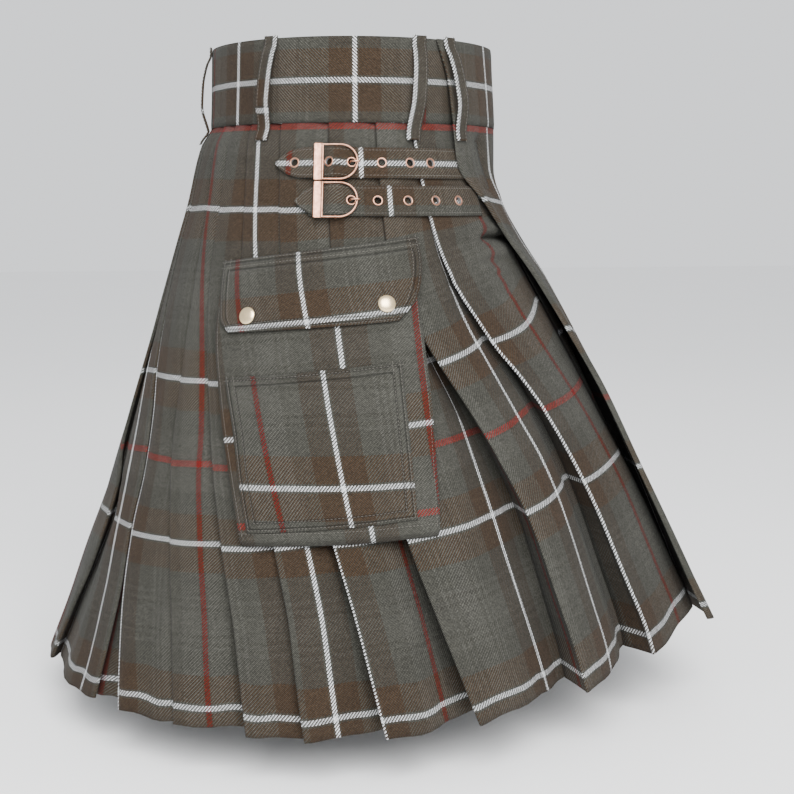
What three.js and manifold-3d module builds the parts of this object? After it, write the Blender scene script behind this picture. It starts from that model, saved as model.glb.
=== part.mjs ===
// A utility kilt, worn and fastened: waistband, pleated length, two front aprons, belt loops,
// two strap-and-buckle fastenings and one cargo pocket on the wearer's right hip.
// Millimetres, +Z up. The wearer faces -Y, so the wearer's right is -X. The origin is the middle
// of the waist, at half the waistband's height.
// An azimuth (degrees) is counted from the front, through the wearer's right and round the back.
// A stand-off (mm) is counted outwards from the form: the surface that the pleats' edges lie on.

import * as THREE from 'three';
import { mergeVertices } from 'three/addons/utils/BufferGeometryUtils.js';
import Module from 'manifold-3d';

// ---- driving dimensions ------------------------------------------------------------------------

const BAND_HEIGHT = 75;
const HEM_BACK = -547;         // height of the hem at the back and sides
// How much higher the hem swings towards the front, by azimuth away from the front.
const HEM_RISE = [
  { azimuth: 20, rise: 48 },
  { azimuth: 38.4, rise: 24 },
  { azimuth: 57.8, rise: 16 },
  { azimuth: 77.8, rise: 6 },
  { azimuth: 92.4, rise: 0 },
  { azimuth: 180, rise: 0 },
];
const SEAM_GAP = 0.3;          // room between two pieces that are sewn or lie together
const CLOTH = 1.2;             // one layer of tartan cloth
const BAND_WALL = 2.7;         // two layers and a stiffener
const FOLD_STEP = 2;           // from one layer to the next in a pressed pleat
const WAIST_LAP = 14;          // how far a pleat is folded under, above the fell
const FELL = -145;             // down to here the pleats are stitched flat
const STRAP_WIDTH = 27.8;
const STRAP_WALL = 2.4;
const LOOP_WIDTH = 14;
const LOOP_WALL = 1.8;
const EYELET_SIDES = 10;

const BAND_TOP = BAND_HEIGHT / 2;
const BAND_FOOT = -BAND_HEIGHT / 2;
const SKIRT_TOP = BAND_FOOT - SEAM_GAP;

// The form: half-width at the sides, reach forwards and reach backwards, by height.
const FORM = [
  { z: 40, side: 153, front: 140, back: 128.5 },
  { z: -37, side: 155, front: 142, back: 131 },
  { z: -51, side: 157, front: 143, back: 140 },
  { z: -67, side: 160, front: 144.5, back: 145.5 },
  { z: -107, side: 172, front: 155, back: 155 },
  { z: -144, side: 184, front: 168, back: 166 },
  { z: -217, side: 210, front: 205, back: 187.5 },
  { z: -299, side: 240, front: 245, back: 213 },
  { z: -376, side: 268, front: 283, back: 236.5 },
  { z: -453, side: 295, front: 315, back: 264.5 },
  { z: -500, side: 310, front: 333, back: 281 },
  { z: -547, side: 321, front: 342, back: 299.5 },
];

// The pleats' folded edges on the wearer's right, as azimuths at five heights and at the hem.
// stand: depth of the next layer under the edge at the hem; lap: how far the cloth is folded
// under at the hem; early (1 unless given): below 1 the pleat opens soon under the fell;
// turn (+1 unless given): +1 where the edge looks to the back, -1 where it looks to the front.
// The left side is the mirror image.
const FOLDS = [
  { waist: 75, fell: 71.6, knee: 47.5, shin: 43.3, low: 41.4, hem: 38.4, stand: 35, lap: 12, early: 0.8 },
  { waist: 88, fell: 86.8, knee: 67, shin: 62, low: 60.2, hem: 57.8, stand: 38, lap: 14, early: 0.45 },
  { waist: 103.6, fell: 102.3, knee: 91, shin: 86.8, low: 83, hem: 77.8, stand: 34, lap: 36 },
  { waist: 121, fell: 117, knee: 105.5, shin: 100.1, low: 96.4, hem: 92.4, stand: 25, lap: 34 },
  { waist: 135, fell: 130, knee: 117, shin: 111.1, low: 107.6, hem: 104.5, stand: 12, lap: 30 },
  { waist: 145.5, fell: 142.5, knee: 127.7, shin: 122, low: 117.6, hem: 113.6, stand: 22, lap: 32 },
  { waist: 156, fell: 150, knee: 140.5, shin: 135.2, low: 130.8, hem: 126.5, stand: 9, lap: 18 },
  { waist: 168, fell: 168, knee: 152, shin: 148.8, low: 145.1, hem: 138.7, stand: 20, lap: 20 },
  { waist: 169.2, fell: 169.2, knee: 153.2, shin: 149.9, low: 146.8, hem: 146, stand: 10, lap: 22, turn: -1 },
  { waist: 177.3, fell: 178, knee: 176, shin: 165.5, low: 168, hem: 172.5, stand: 10, lap: 20, turn: -1 },
];
const FOLD_HEIGHTS = { waist: -50, fell: FELL, knee: -330, shin: -400, low: -460, hem: HEM_BACK };
const SOFT_PANEL = 8;          // the fold whose panel drops to the next one over a soft edge
const PLEAT_ROWS = [SKIRT_TOP, -62, -95, FELL, -205, -270, -335, -400, -470, HEM_BACK];
const WIDE_STEPS = [0.3, 0.65];
const NARROW_STEPS = [0.5];
const SOFT_STEPS = [0.5, 0.76];
const WIDE_PANELS = 4;         // so many panels from the front are wide and get more steps
const PANEL_CURVE = { fell: 4, hem: 1.3 };
const SOFT_EDGE = [{ t: 0, drop: 0 }, { t: 0.5, drop: 0.08 }, { t: 0.78, drop: 0.9 }, { t: 1, drop: 1 }];
const LAP_SHARE = 0.46;        // of a panel's width, the most that its lap may take

// Where the pleated length starts, hidden beneath the over apron: azimuth and stand-off.
const START = [
  { z: -37, azimuth: 45, stand: -1 },
  { z: -145, azimuth: 36, stand: 1 },
  { z: -330, azimuth: 27, stand: 8 },
  { z: -547, azimuth: 22, stand: 18 },
];
const START_CURVE = 1.9;

// The over apron in plan: half-width, how far forward its corners and its middle lie, and the
// radius of the roll at its free edge, which turns back towards the hip.
const OVER_APRON = [
  { z: 38, half: 140.5, corner: 62, middle: 140.5, roll: 1.5 },
  { z: -37.8, half: 139, corner: 80, middle: 143.7, roll: 1.5 },
  { z: -75, half: 140, corner: 87, middle: 143.5, roll: 2 },
  { z: -107, half: 134, corner: 114, middle: 150, roll: 3 },
  { z: -145, half: 129, corner: 141, middle: 171, roll: 5 },
  { z: -180, half: 131, corner: 166.5, middle: 193, roll: 5 },
  { z: -255, half: 141, corner: 211.5, middle: 229, roll: 5 },
  { z: -330, half: 150, corner: 251, middle: 262, roll: 5 },
  { z: -406, half: 160, corner: 287.5, middle: 295, roll: 5 },
  { z: -502, half: 172, corner: 330, middle: 337, roll: 6 },
];
const APRON_SWEEP = 53;        // degrees of its arc on each side of the middle
const APRON_DIP = 8;           // how much lower its hem hangs in the middle
const APRON_HEM = -502;
const APRON_ROWS = [-37.8, -75, -107, -145, -180, -255, -330, -406, APRON_HEM];
const ROLL_TURN = 110;         // degrees through which the free edge turns back
const FOLD_RADIUS = { fell: 2, hem: 6 };       // of the apron's folded left edge
const UNDER_HEM = -497;
const UNDER_GAP = 5;           // from the over apron's middle to the under apron's
const UNDER_INSIDE = 4;        // how far inside the pleats it lies on the wearer's left
const UNDER_END = { waist: 55, hem: 32 };      // azimuth of its left end

// The waistband's middle line. turn is an azimuth that runs down from its over end at the
// wearer's right, through 0 at the front and round the left and back, to its under end.
const BAND_OUT = 0.15;         // its middle stands this far outside the cloth's middle below it
const BAND_TUCK = 0.6;         // how much further in its under layer lies
const OVER_END = [
  { z: -38, azimuth: 60.5 },
  { z: 0, azimuth: 61.5 },
  { z: 38, azimuth: 66 },
];
const BAND_TURNS = { apron: -61, hip: -105, side: -280, end: -418 };
const TUCK_FROM = 80;          // azimuths between which the under layer goes in behind the over one
const TUCK_TO = 45;

// Belt loops: azimuth at the top and at the foot, both on the band's outer layer.
const LOOPS = [
  { name: 'belt_loop_back', top: 180, foot: 180 },
  { name: 'belt_loop_right_back', top: 125, foot: 128.3 },
  { name: 'belt_loop_right', top: 72.6, foot: 75.5 },
  { name: 'belt_loop_apron_edge', top: 60.5, foot: 57.5 },
  { name: 'belt_loop_left_back', top: 235, foot: 231.7 },
  { name: 'belt_loop_left', top: 302, foot: 302 },
];
// How far a loop's inner face stands off what is under it, by height.
const LOOP_STAND = [
  { z: 39.5, gap: 0.3 },
  { z: 33, gap: 0.3 },
  { z: 22, gap: 4.4 },
  { z: 3, gap: 7.8 },
  { z: -16, gap: 8.4 },
  { z: -45, gap: 0.8 },
  { z: -52.5, gap: 0.7 },
];
const LOOP_FOOT = -52.5;

// The two straps, by the height of their middle line. They taper to the tip; the buckle's bar
// and the eyelets are given as azimuths.
const STRAPS = [
  {
    name: 'upper', z: -74, front: 56.5, taper: 110, tip: 121, bar: 101,
    eyelets: [114.2, 102.9, 96.3, 87, 77.8, 70.5],
  },
  {
    name: 'lower', z: -107.5, front: 51.5, taper: 104, tip: 113.3, bar: 101,
    eyelets: [96.6, 88.9, 79.8, 70.6, 61.8],
  },
];
// The strap's middle surface over the buckle's bar: distance along the strap from the bar
// (positive to the front) and stand-off.
const STRAP_RISE = [
  { along: -60, stand: 2.6 },
  { along: -34, stand: 2.8 },
  { along: -26, stand: 4.1 },
  { along: -11, stand: 4.1 },
  { along: -1.5, stand: 7.5 },
  { along: 1.5, stand: 7.5 },
  { along: 6, stand: 4.9 },
  { along: 11, stand: 4.1 },
  { along: 18, stand: 3.1 },
  { along: 26, stand: 2.5 },
  { along: 200, stand: 2.5 },
];

const BUCKLE = {
  halfHeight: 16.6, sideBar: 1.45, plate: 8.9, back: -19.6, arc: 20.2, base: 5.5, thick: 2.2,
  barRadius: 1, barStand: 3.15, lug: 2.2,
};
const TAB = { width: 26, wall: 0.9, end: 109.2, slot: 4.6 };
const BAR_OUT = 0.4;           // the bar's axes stand this far out of the form
const NEAR_BUCKLE = { from: 92, to: 108 };
const TAIL_STEPS = [0.48, 0.76, 1];            // sections from the buckle to the tip
const TIP_TAPER = 0.93;        // share of the strap's width that is lost at its tip
const TIP_CURVE = 2.4;         // above 1 the tip's two sides bow outwards
const PRONG = { width: 2.2, thick: 1.1, bend: 11.3, crest: 15, past: 1.6, droop: 0.9 };
const EYELET = { bore: 2.6, barrel: 3.6, flange: 5.0, flangeThick: 0.9 };

// The cargo pocket's sheets: left (back) and right (front) edges by azimuth and height, with the
// stand-off of the sheet's middle.
const POCKET_ROWS = [
  { left: 133, leftZ: -190, right: 80.6, rightZ: -165, stand: 7 },
  { left: 131.4, leftZ: -226, right: 80.6, rightZ: -200, stand: 9 },
  { left: 126, leftZ: -285, right: 80.5, rightZ: -262, stand: 9 },
  { left: 121.2, leftZ: -342, right: 81.1, rightZ: -325, stand: 9 },
  { left: 117.5, leftZ: -389, right: 81.8, rightZ: -379, stand: 9 },
  { left: 117.2, leftZ: -397, right: 82, rightZ: -387.5, stand: 1.6 },
];
const PATCH_ROWS = [
  { left: 125.8, leftZ: -260, right: 86.2, rightZ: -243, stand: 11.6 },
  { left: 122, leftZ: -302, right: 86, rightZ: -286, stand: 10.9 },
  { left: 119, leftZ: -344, right: 85.8, rightZ: -330, stand: 10.7 },
  { left: 116, leftZ: -385, right: 85.7, rightZ: -372, stand: 10.7 },
];
const FLAP_ROWS = [
  { left: 134.9, leftZ: -161, right: 78.1, rightZ: -138, stand: 2.4 },
  { left: 132.9, leftZ: -177, right: 78.4, rightZ: -154, stand: 8.4 },
  { left: 131.4, leftZ: -193, right: 79.4, rightZ: -172, stand: 11.6 },
  { left: 130.1, leftZ: -210, right: 82, rightZ: -194, stand: 12.2 },
  { left: 127, leftZ: -221.5, right: 86.2, rightZ: -209, stand: 12.6 },
];
const PATCH_WALL = 1.4;
const FLAP_WALL = 2.2;
const FLAP_STAND = 12.4;       // the flap's stand-off where the snaps sit
const SNAPS = [
  { name: 'snap_back', azimuth: 122, z: -206.5 },
  { name: 'snap_front', azimuth: 88.8, z: -195 },
];
const SNAP_RADIUS = 7.8;

// ---- small helpers -----------------------------------------------------------------------------

const radians = THREE.MathUtils.degToRad;
const degrees = THREE.MathUtils.radToDeg;
const clamp = THREE.MathUtils.clamp;
const lerp = THREE.MathUtils.lerp;

// Smooth value at x through the points (xs, ys), with no overshoot; xs rise.
function smoothThrough(xs, ys, x) {
  const last = xs.length - 1;
  if (x <= xs[0]) return ys[0];
  if (x >= xs[last]) return ys[last];
  let k = 0;
  while (x > xs[k + 1]) k += 1;
  const slope = (i) => (ys[i + 1] - ys[i]) / (xs[i + 1] - xs[i]);
  const tangent = (i) => {
    if (i === 0) return slope(0);
    if (i === last) return slope(last - 1);
    const before = slope(i - 1);
    const after = slope(i);
    return before * after <= 0 ? 0 : (2 * before * after) / (before + after);
  };
  const step = xs[k + 1] - xs[k];
  const t = (x - xs[k]) / step;
  const rise = ys[k + 1] - ys[k];
  const [m0, m1] = [tangent(k) * step, tangent(k + 1) * step];
  return ys[k] + t * (m0 + t * (3 * rise - 2 * m0 - m1 + t * (m0 + m1 - 2 * rise)));
}

// A column of a table by height, or by any other rising or falling key column.
function column(table, name, at, key = 'z') {
  const rows = [...table].sort((a, b) => a[key] - b[key]);
  return smoothThrough(rows.map((row) => row[key]), rows.map((row) => row[name]), at);
}

// Azimuth folded to the nearer side: 0 at the front, 180 at the back.
function fromFront(azimuth) {
  const turned = ((azimuth % 360) + 360) % 360;
  return Math.min(turned, 360 - turned);
}

function formRadius(azimuth, z) {
  const across = Math.sin(radians(azimuth)) / column(FORM, 'side', z);
  const ahead = Math.cos(radians(azimuth));
  const reach = column(FORM, ahead > 0 ? 'front' : 'back', z);
  return 1 / Math.hypot(across, ahead / reach);
}

function pointAt(azimuth, radius, z) {
  const angle = radians(azimuth);
  return new THREE.Vector3(-radius * Math.sin(angle), -radius * Math.cos(angle), z);
}

function formPoint(azimuth, z, stand = 0) {
  return pointAt(azimuth, formRadius(azimuth, z) + stand, z);
}

function hemHeight(azimuth) {
  return HEM_BACK + column(HEM_RISE, 'rise', fromFront(azimuth), 'azimuth');
}

// A row's real height at an azimuth: rows are given for the back, where the hem is lowest.
function rowHeight(row, azimuth, hem = hemHeight(azimuth)) {
  return SKIRT_TOP + ((row - SKIRT_TOP) * (hem - SKIRT_TOP)) / (HEM_BACK - SKIRT_TOP);
}

// The row that reaches a real height at an azimuth.
function rowAt(z, azimuth) {
  return SKIRT_TOP + ((z - SKIRT_TOP) * (HEM_BACK - SKIRT_TOP)) / (hemHeight(azimuth) - SKIRT_TOP);
}

// A closed body from two matching grids of points, the outer and inner faces of a wall.
function shell(outer, inner) {
  const rows = outer.length;
  const columns = outer[0].length;
  const at = (side, r, c) => side * rows * columns + r * columns + c;
  const positions = [...outer.flat(), ...inner.flat()].flatMap((p) => [p.x, p.y, p.z]);
  const index = [];
  const quad = (a, b, c, d) => index.push(a, b, c, a, c, d);
  for (let r = 0; r + 1 < rows; r += 1) {
    for (let c = 0; c + 1 < columns; c += 1) {
      quad(at(0, r, c), at(0, r + 1, c), at(0, r + 1, c + 1), at(0, r, c + 1));
      quad(at(1, r, c), at(1, r, c + 1), at(1, r + 1, c + 1), at(1, r + 1, c));
    }
    quad(at(0, r, 0), at(1, r, 0), at(1, r + 1, 0), at(0, r + 1, 0));
    quad(at(0, r, columns - 1), at(0, r + 1, columns - 1), at(1, r + 1, columns - 1), at(1, r, columns - 1));
  }
  for (let c = 0; c + 1 < columns; c += 1) {
    quad(at(0, 0, c), at(0, 0, c + 1), at(1, 0, c + 1), at(1, 0, c));
    quad(at(0, rows - 1, c), at(1, rows - 1, c), at(1, rows - 1, c + 1), at(0, rows - 1, c + 1));
  }
  const geometry = new THREE.BufferGeometry();
  geometry.setAttribute('position', new THREE.Float32BufferAttribute(positions, 3));
  geometry.setIndex(signedVolume(positions, index) < 0 ? index.reverse() : index);
  geometry.computeVertexNormals();
  return geometry;
}

function signedVolume(positions, index) {
  const corner = (i) => new THREE.Vector3().fromArray(positions, 3 * i);
  let volume = 0;
  for (let i = 0; i < index.length; i += 3) {
    const [a, b, c] = [corner(index[i]), corner(index[i + 1]), corner(index[i + 2])];
    volume += a.dot(b.cross(c)) / 6;
  }
  return volume;
}

const MITRE_LIMIT = 0.45;

// A section moved sideways in plan by a distance, with its corners mitred.
function movedAside(section, distance) {
  const direction = (a, b) => new THREE.Vector2(b.x - a.x, b.y - a.y).normalize();
  return section.map((point, i) => {
    const before = i > 0 ? direction(section[i - 1], point) : null;
    const after = i + 1 < section.length ? direction(point, section[i + 1]) : null;
    const along = (before ?? after).clone().add(after ?? before).normalize();
    const bend = Math.max(along.dot(after ?? before), MITRE_LIMIT);
    const shift = distance / bend;
    return new THREE.Vector3(point.x + along.y * shift, point.y - along.x * shift, point.z);
  });
}

// A wall of even thickness on each side of a stack of sections.
function wall(sections, thickness) {
  const outer = sections.map((section) => movedAside(section, thickness / 2));
  const inner = sections.map((section) => movedAside(section, -thickness / 2));
  return shell(outer, inner);
}

function range(count, from, to) {
  return Array.from({ length: count + 1 }, (_, i) => lerp(from, to, i / count));
}

// ---- booleans ----------------------------------------------------------------------------------

const wasm = await Module();
wasm.setup();

function toSolid(geometry) {
  const bare = geometry.clone();
  bare.deleteAttribute('normal');
  bare.deleteAttribute('uv');
  const merged = mergeVertices(bare, 1e-4);
  return new wasm.Manifold(new wasm.Mesh({
    numProp: 3,
    vertProperties: new Float32Array(merged.attributes.position.array),
    triVerts: new Uint32Array(merged.index.array),
  }));
}

function toGeometry(solid) {
  const mesh = solid.getMesh();
  const geometry = new THREE.BufferGeometry();
  geometry.setAttribute('position', new THREE.BufferAttribute(new Float32Array(mesh.vertProperties), 3));
  geometry.setIndex(new THREE.BufferAttribute(new Uint32Array(mesh.triVerts), 1));
  geometry.computeVertexNormals();
  return geometry;
}

function cut(geometry, cutters) {
  return toGeometry(cutters.reduce((solid, cutter) => solid.subtract(toSolid(cutter)), toSolid(geometry)));
}

function join(geometries) {
  return toGeometry(geometries.map(toSolid).reduce((whole, next) => whole.add(next)));
}

// ---- materials and the group -------------------------------------------------------------------

const COLOURS = {
  cloth: { color: '#5f625a', roughness: 0.92, metalness: 0 },
  brownCloth: { color: '#54463a', roughness: 0.92, metalness: 0 },
  copper: { color: '#b07a5c', roughness: 0.35, metalness: 0.9 },
  brass: { color: '#b9a67c', roughness: 0.3, metalness: 0.9 },
};

const kilt = new THREE.Group();
kilt.name = 'utility_kilt';

function addPiece(name, geometry, colour, matrix) {
  const mesh = new THREE.Mesh(geometry, new THREE.MeshStandardMaterial(COLOURS[colour]));
  mesh.name = name;
  if (matrix) matrix.decompose(mesh.position, mesh.quaternion, mesh.scale);
  kilt.add(mesh);
}

// ---- the pleated length ------------------------------------------------------------------------

function foldAzimuth(fold, row) {
  const names = Object.keys(FOLD_HEIGHTS).reverse();
  return smoothThrough(names.map((name) => FOLD_HEIGHTS[name]), names.map((name) => fold[name]), row);
}

// 0 down to the fell, rising to 1 at the hem.
function belowFell(row) {
  return clamp((FELL - row) / (FELL - HEM_BACK), 0, 1);
}

// Depth of the layer under a fold: the pressed pair of layers down to the fell, then opening.
function foldDepth(fold, row) {
  return lerp(2 * FOLD_STEP, fold.stand, belowFell(row) ** (fold.early ?? 1));
}

// The folds of one row, right side and its mirror, in the order of rising azimuth.
function foldsOfRow(row) {
  const right = FOLDS.map((fold, i) => ({
    azimuth: foldAzimuth(fold, row),
    depth: foldDepth(fold, row),
    lap: lerp(WAIST_LAP, fold.lap, belowFell(row)),
    turn: fold.turn ?? 1,
    soft: i === SOFT_PANEL,
  }));
  const left = right.map((fold) => ({ ...fold, azimuth: 360 - fold.azimuth, turn: -fold.turn }));
  return [...right, ...left.reverse()];
}

// Stand-off along a panel (t from 0 to 1) that leaves one edge and reaches the next.
function panelStand(t, leaving, reaching, row) {
  if (leaving < 0 && reaching < 0) return lerp(leaving, reaching, t);
  const power = lerp(PANEL_CURVE.fell, PANEL_CURVE.hem, belowFell(row));
  return leaving * (1 - t) ** power + reaching * t ** power;
}

// The soft-edged panel: level at first, then a quick drop to the next edge's depth.
function softStand(t, depth) {
  return -depth * column(SOFT_EDGE, 'drop', t, 't');
}

// Stand-off of the first panel, from its hidden start to the first fold's edge.
function startStand(azimuth, row) {
  const start = column(START, 'azimuth', row);
  const t = clamp((azimuth - start) / (foldAzimuth(FOLDS[0], row) - start), 0, 1);
  return column(START, 'stand', row) * (1 - t) ** START_CURVE;
}

function pleatSection(row) {
  const folds = foldsOfRow(row);
  const start = column(START, 'azimuth', row);
  const section = [];
  const put = (azimuth, stand) => section.push(formPoint(azimuth, rowHeight(row, azimuth), stand));
  const firstPanel = range(3, start, folds[0].azimuth).slice(0, -1);
  firstPanel.forEach((azimuth) => put(azimuth, startStand(azimuth, row)));
  folds.forEach((fold, i) => {
    const next = folds[i + 1];
    const before = i > 0 ? fold.azimuth - folds[i - 1].azimuth : fold.azimuth - start;
    const after = next ? next.azimuth - fold.azimuth : before;
    const panel = fold.turn > 0 ? before : after;
    const lap = Math.min(degrees(fold.lap / formRadius(fold.azimuth, row)), panel * LAP_SHARE);
    const under = fold.azimuth - fold.turn * lap;
    const edge = [
      [fold.azimuth, 0],
      [fold.azimuth, -FOLD_STEP],
      [under, FOLD_STEP - fold.depth],
      [under, -fold.depth],
      [fold.azimuth, -fold.depth],
    ];
    (fold.turn > 0 ? edge : edge.reverse()).forEach(([azimuth, stand]) => put(azimuth, stand));
    if (!next) return;
    const leaving = fold.turn > 0 ? -fold.depth : 0;
    const reaching = next.turn > 0 ? 0 : -next.depth;
    const softAfter = fold.soft && fold.turn < 0;
    const softBefore = next.soft && next.turn > 0;
    let steps = i < WIDE_PANELS ? WIDE_STEPS : NARROW_STEPS;
    if (softAfter) steps = SOFT_STEPS;
    if (softBefore) steps = SOFT_STEPS.map((t) => 1 - t).reverse();
    steps.forEach((t) => {
      let stand = panelStand(t, leaving, reaching, row);
      if (softAfter) stand = softStand(t, next.depth);
      if (softBefore) stand = softStand(1 - t, fold.depth);
      put(lerp(fold.azimuth, next.azimuth, t), stand);
    });
  });
  firstPanel.reverse().forEach((azimuth) => put(360 - azimuth, startStand(azimuth, row)));
  return section;
}

addPiece('pleats', wall(PLEAT_ROWS.map(pleatSection), CLOTH), 'cloth');

// ---- the aprons --------------------------------------------------------------------------------

// The over apron's arc in plan at a height: half-axes, centre and the roll at its edges.
function apronArc(z) {
  const half = column(OVER_APRON, 'half', z);
  const corner = column(OVER_APRON, 'corner', z);
  const middle = column(OVER_APRON, 'middle', z);
  const roll = column(OVER_APRON, 'roll', z);
  const sweep = radians(APRON_SWEEP);
  const depth = (middle - corner) / (1 - Math.cos(sweep));
  const lean = Math.atan2(depth * Math.sin(sweep), (half / Math.sin(sweep)) * Math.cos(sweep));
  const width = (half - roll * (1 - Math.sin(lean))) / Math.sin(sweep);
  return { width, depth, centre: middle - depth, roll, lean };
}

function arcPoint(arc, angle, z) {
  const x = -arc.width * Math.sin(radians(angle));
  const y = -(arc.centre + arc.depth * Math.cos(radians(angle)));
  return new THREE.Vector3(x, y, z);
}

// Radius of the over apron's middle surface at an azimuth within its arc.
function apronRadius(azimuth, z) {
  const arc = apronArc(z);
  const wanted = Math.min(fromFront(azimuth), 80);
  let [low, high] = [0, APRON_SWEEP + 12];
  for (let i = 0; i < 30; i += 1) {
    const angle = (low + high) / 2;
    const point = arcPoint(arc, angle, z);
    if (degrees(Math.atan2(-point.x, -point.y)) < wanted) low = angle;
    else high = angle;
  }
  const point = arcPoint(arc, low, z);
  return Math.hypot(point.x, point.y);
}

// Points of a roll in plan: it starts along the arc's end (side +1 is the wearer's right) and
// turns back round its own centre.
function rollPoints(arc, side, radius, turn, steps, z) {
  const end = arcPoint(arc, side * APRON_SWEEP, z);
  const lean = arc.lean;
  const centre = { x: side * end.x + radius * Math.sin(lean), y: end.y + radius * Math.cos(lean) };
  return range(steps, 0, turn).slice(1).map((angle) => {
    const around = lean + radians(angle);
    const x = side * (centre.x - radius * Math.sin(around));
    return new THREE.Vector3(x, centre.y - radius * Math.cos(around), z);
  });
}

// The cloth folded under the left edge: it closes on the pleats' hidden start and is sewn there.
function foldUnderlay(foldEnd, z) {
  const from = degrees(Math.atan2(foldEnd.x, -foldEnd.y));
  const seam = column(START, 'azimuth', rowAt(z, from)) + 0.4;
  const fromStand = Math.hypot(foldEnd.x, foldEnd.y) - formRadius(from, z);
  return range(3, 0, 1).slice(1).map((t) => {
    const azimuth = lerp(from, seam, t);
    const onPleats = startStand(azimuth, rowAt(z, azimuth)) + CLOTH + 3 * SEAM_GAP;
    return formPoint(-azimuth, z, Math.max(onPleats, lerp(fromStand, onPleats, t)));
  });
}

function overApronSection(row) {
  const arc = apronArc(row);
  const hang = clamp((SKIRT_TOP - row) / (SKIRT_TOP - APRON_HEM), 0, 1) ** 2;
  const heightAt = (angle) => row - APRON_DIP * hang * (1 - (angle / APRON_SWEEP) ** 2);
  const panel = range(10, APRON_SWEEP, -APRON_SWEEP).map((angle) => arcPoint(arc, angle, heightAt(angle)));
  const freeEdge = rollPoints(arc, 1, arc.roll, ROLL_TURN - degrees(arc.lean), 3, row).reverse();
  const opening = clamp((FELL - row) / (FELL - APRON_HEM), 0, 1);
  const foldRadius = lerp(FOLD_RADIUS.fell, FOLD_RADIUS.hem, opening);
  const fold = rollPoints(arc, -1, foldRadius, 180, 3, row);
  return [...freeEdge, ...panel, ...fold, ...foldUnderlay(fold[fold.length - 1], row)];
}

addPiece('over_apron', wall(APRON_ROWS.map(overApronSection), CLOTH), 'cloth');

// Stand-off of the under apron: level with the pleats' start on the right, inside them on the
// left, and just behind the over apron in the middle.
function underStand(azimuth, row, z) {
  const start = column(START, 'azimuth', row);
  const middle = column(OVER_APRON, 'middle', z) - UNDER_GAP - column(FORM, 'front', z);
  const inside = azimuth < 0 ? UNDER_INSIDE : 0;
  if (Math.abs(azimuth) > start) return startStand(Math.abs(azimuth), row) - inside;
  const end = column(START, 'stand', row) - inside;
  return lerp(middle, end, (azimuth / start) ** 2);
}

function underApronSection(row) {
  const start = column(START, 'azimuth', row);
  const seam = degrees((2 * SEAM_GAP) / formRadius(start, row));
  const down = clamp((SKIRT_TOP - row) / (SKIRT_TOP - HEM_BACK), 0, 1);
  const leftEnd = lerp(UNDER_END.waist, UNDER_END.hem, down);
  return range(8, start - seam, -leftEnd).map((azimuth) => {
    const hem = Math.max(hemHeight(azimuth), UNDER_HEM);
    const z = rowHeight(row, azimuth, azimuth > 0 ? hemHeight(azimuth) : hem);
    return formPoint(azimuth, z, underStand(azimuth, row, z));
  });
}

addPiece('under_apron', wall(PLEAT_ROWS.map(underApronSection), CLOTH), 'cloth');

// ---- the waistband -----------------------------------------------------------------------------

// Radius of the band's middle at a turn.
function bandRadius(turn, z) {
  const azimuth = ((turn % 360) + 360) % 360;
  const form = formRadius(azimuth, z);
  const { apron, hip, side } = BAND_TURNS;
  if (turn > apron) return apronRadius(azimuth, z) + BAND_OUT;
  if (turn > hip) {
    const t = THREE.MathUtils.smoothstep(-turn, -apron, -hip);
    return lerp(apronRadius(-apron, z), form, t) + BAND_OUT;
  }
  if (turn > side) return form + BAND_OUT;
  const right = turn + 360;
  if (right > TUCK_TO) {
    const t = THREE.MathUtils.smoothstep(right, TUCK_TO, TUCK_FROM);
    return form + lerp(underStand(TUCK_TO, SKIRT_TOP, SKIRT_TOP) - BAND_TUCK, BAND_OUT, t);
  }
  const tuck = BAND_TUCK * clamp(right / TUCK_TO, 0, 1);
  return form + underStand(right, SKIRT_TOP, SKIRT_TOP) - tuck;
}

function bandSection(z) {
  const over = column(OVER_END, 'azimuth', z);
  return range(54, over, BAND_TURNS.end).map((turn) => pointAt(turn, bandRadius(turn, z), z));
}

addPiece('waistband', wall([BAND_FOOT, 0, BAND_TOP].map(bandSection), BAND_WALL), 'cloth');

// ---- the belt loops ----------------------------------------------------------------------------

// Stand-off from the axis of the outer face that a loop lies on.
function loopBase(azimuth, z) {
  const turn = azimuth > OVER_END[2].azimuth ? azimuth - 360 : azimuth;
  const onBand = bandRadius(turn, Math.max(z, BAND_FOOT)) + BAND_WALL / 2;
  if (z > BAND_FOOT) return onBand;
  const cloth = turn > BAND_TURNS.hip ? apronRadius(azimuth, z) : formRadius(azimuth, z);
  return Math.max(cloth + CLOTH / 2, onBand);
}

function beltLoop(loop) {
  const sections = LOOP_STAND.map(({ z, gap }) => {
    const drop = (BAND_TOP - z) / (BAND_TOP - LOOP_FOOT);
    const azimuth = lerp(loop.top, loop.foot, clamp(drop, 0, 1));
    const radius = loopBase(azimuth, z) + gap + LOOP_WALL / 2;
    const half = degrees(LOOP_WIDTH / 2 / radius);
    return [azimuth - half, azimuth, azimuth + half].map((side) => {
      const sag = loopBase(side, z) + gap + LOOP_WALL / 2;
      return pointAt(side, Math.max(sag, radius - SEAM_GAP), z);
    });
  });
  return wall(sections, LOOP_WALL);
}

LOOPS.forEach((loop) => addPiece(loop.name, beltLoop(loop), 'brownCloth'));

// ---- places on the form ------------------------------------------------------------------------

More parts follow.
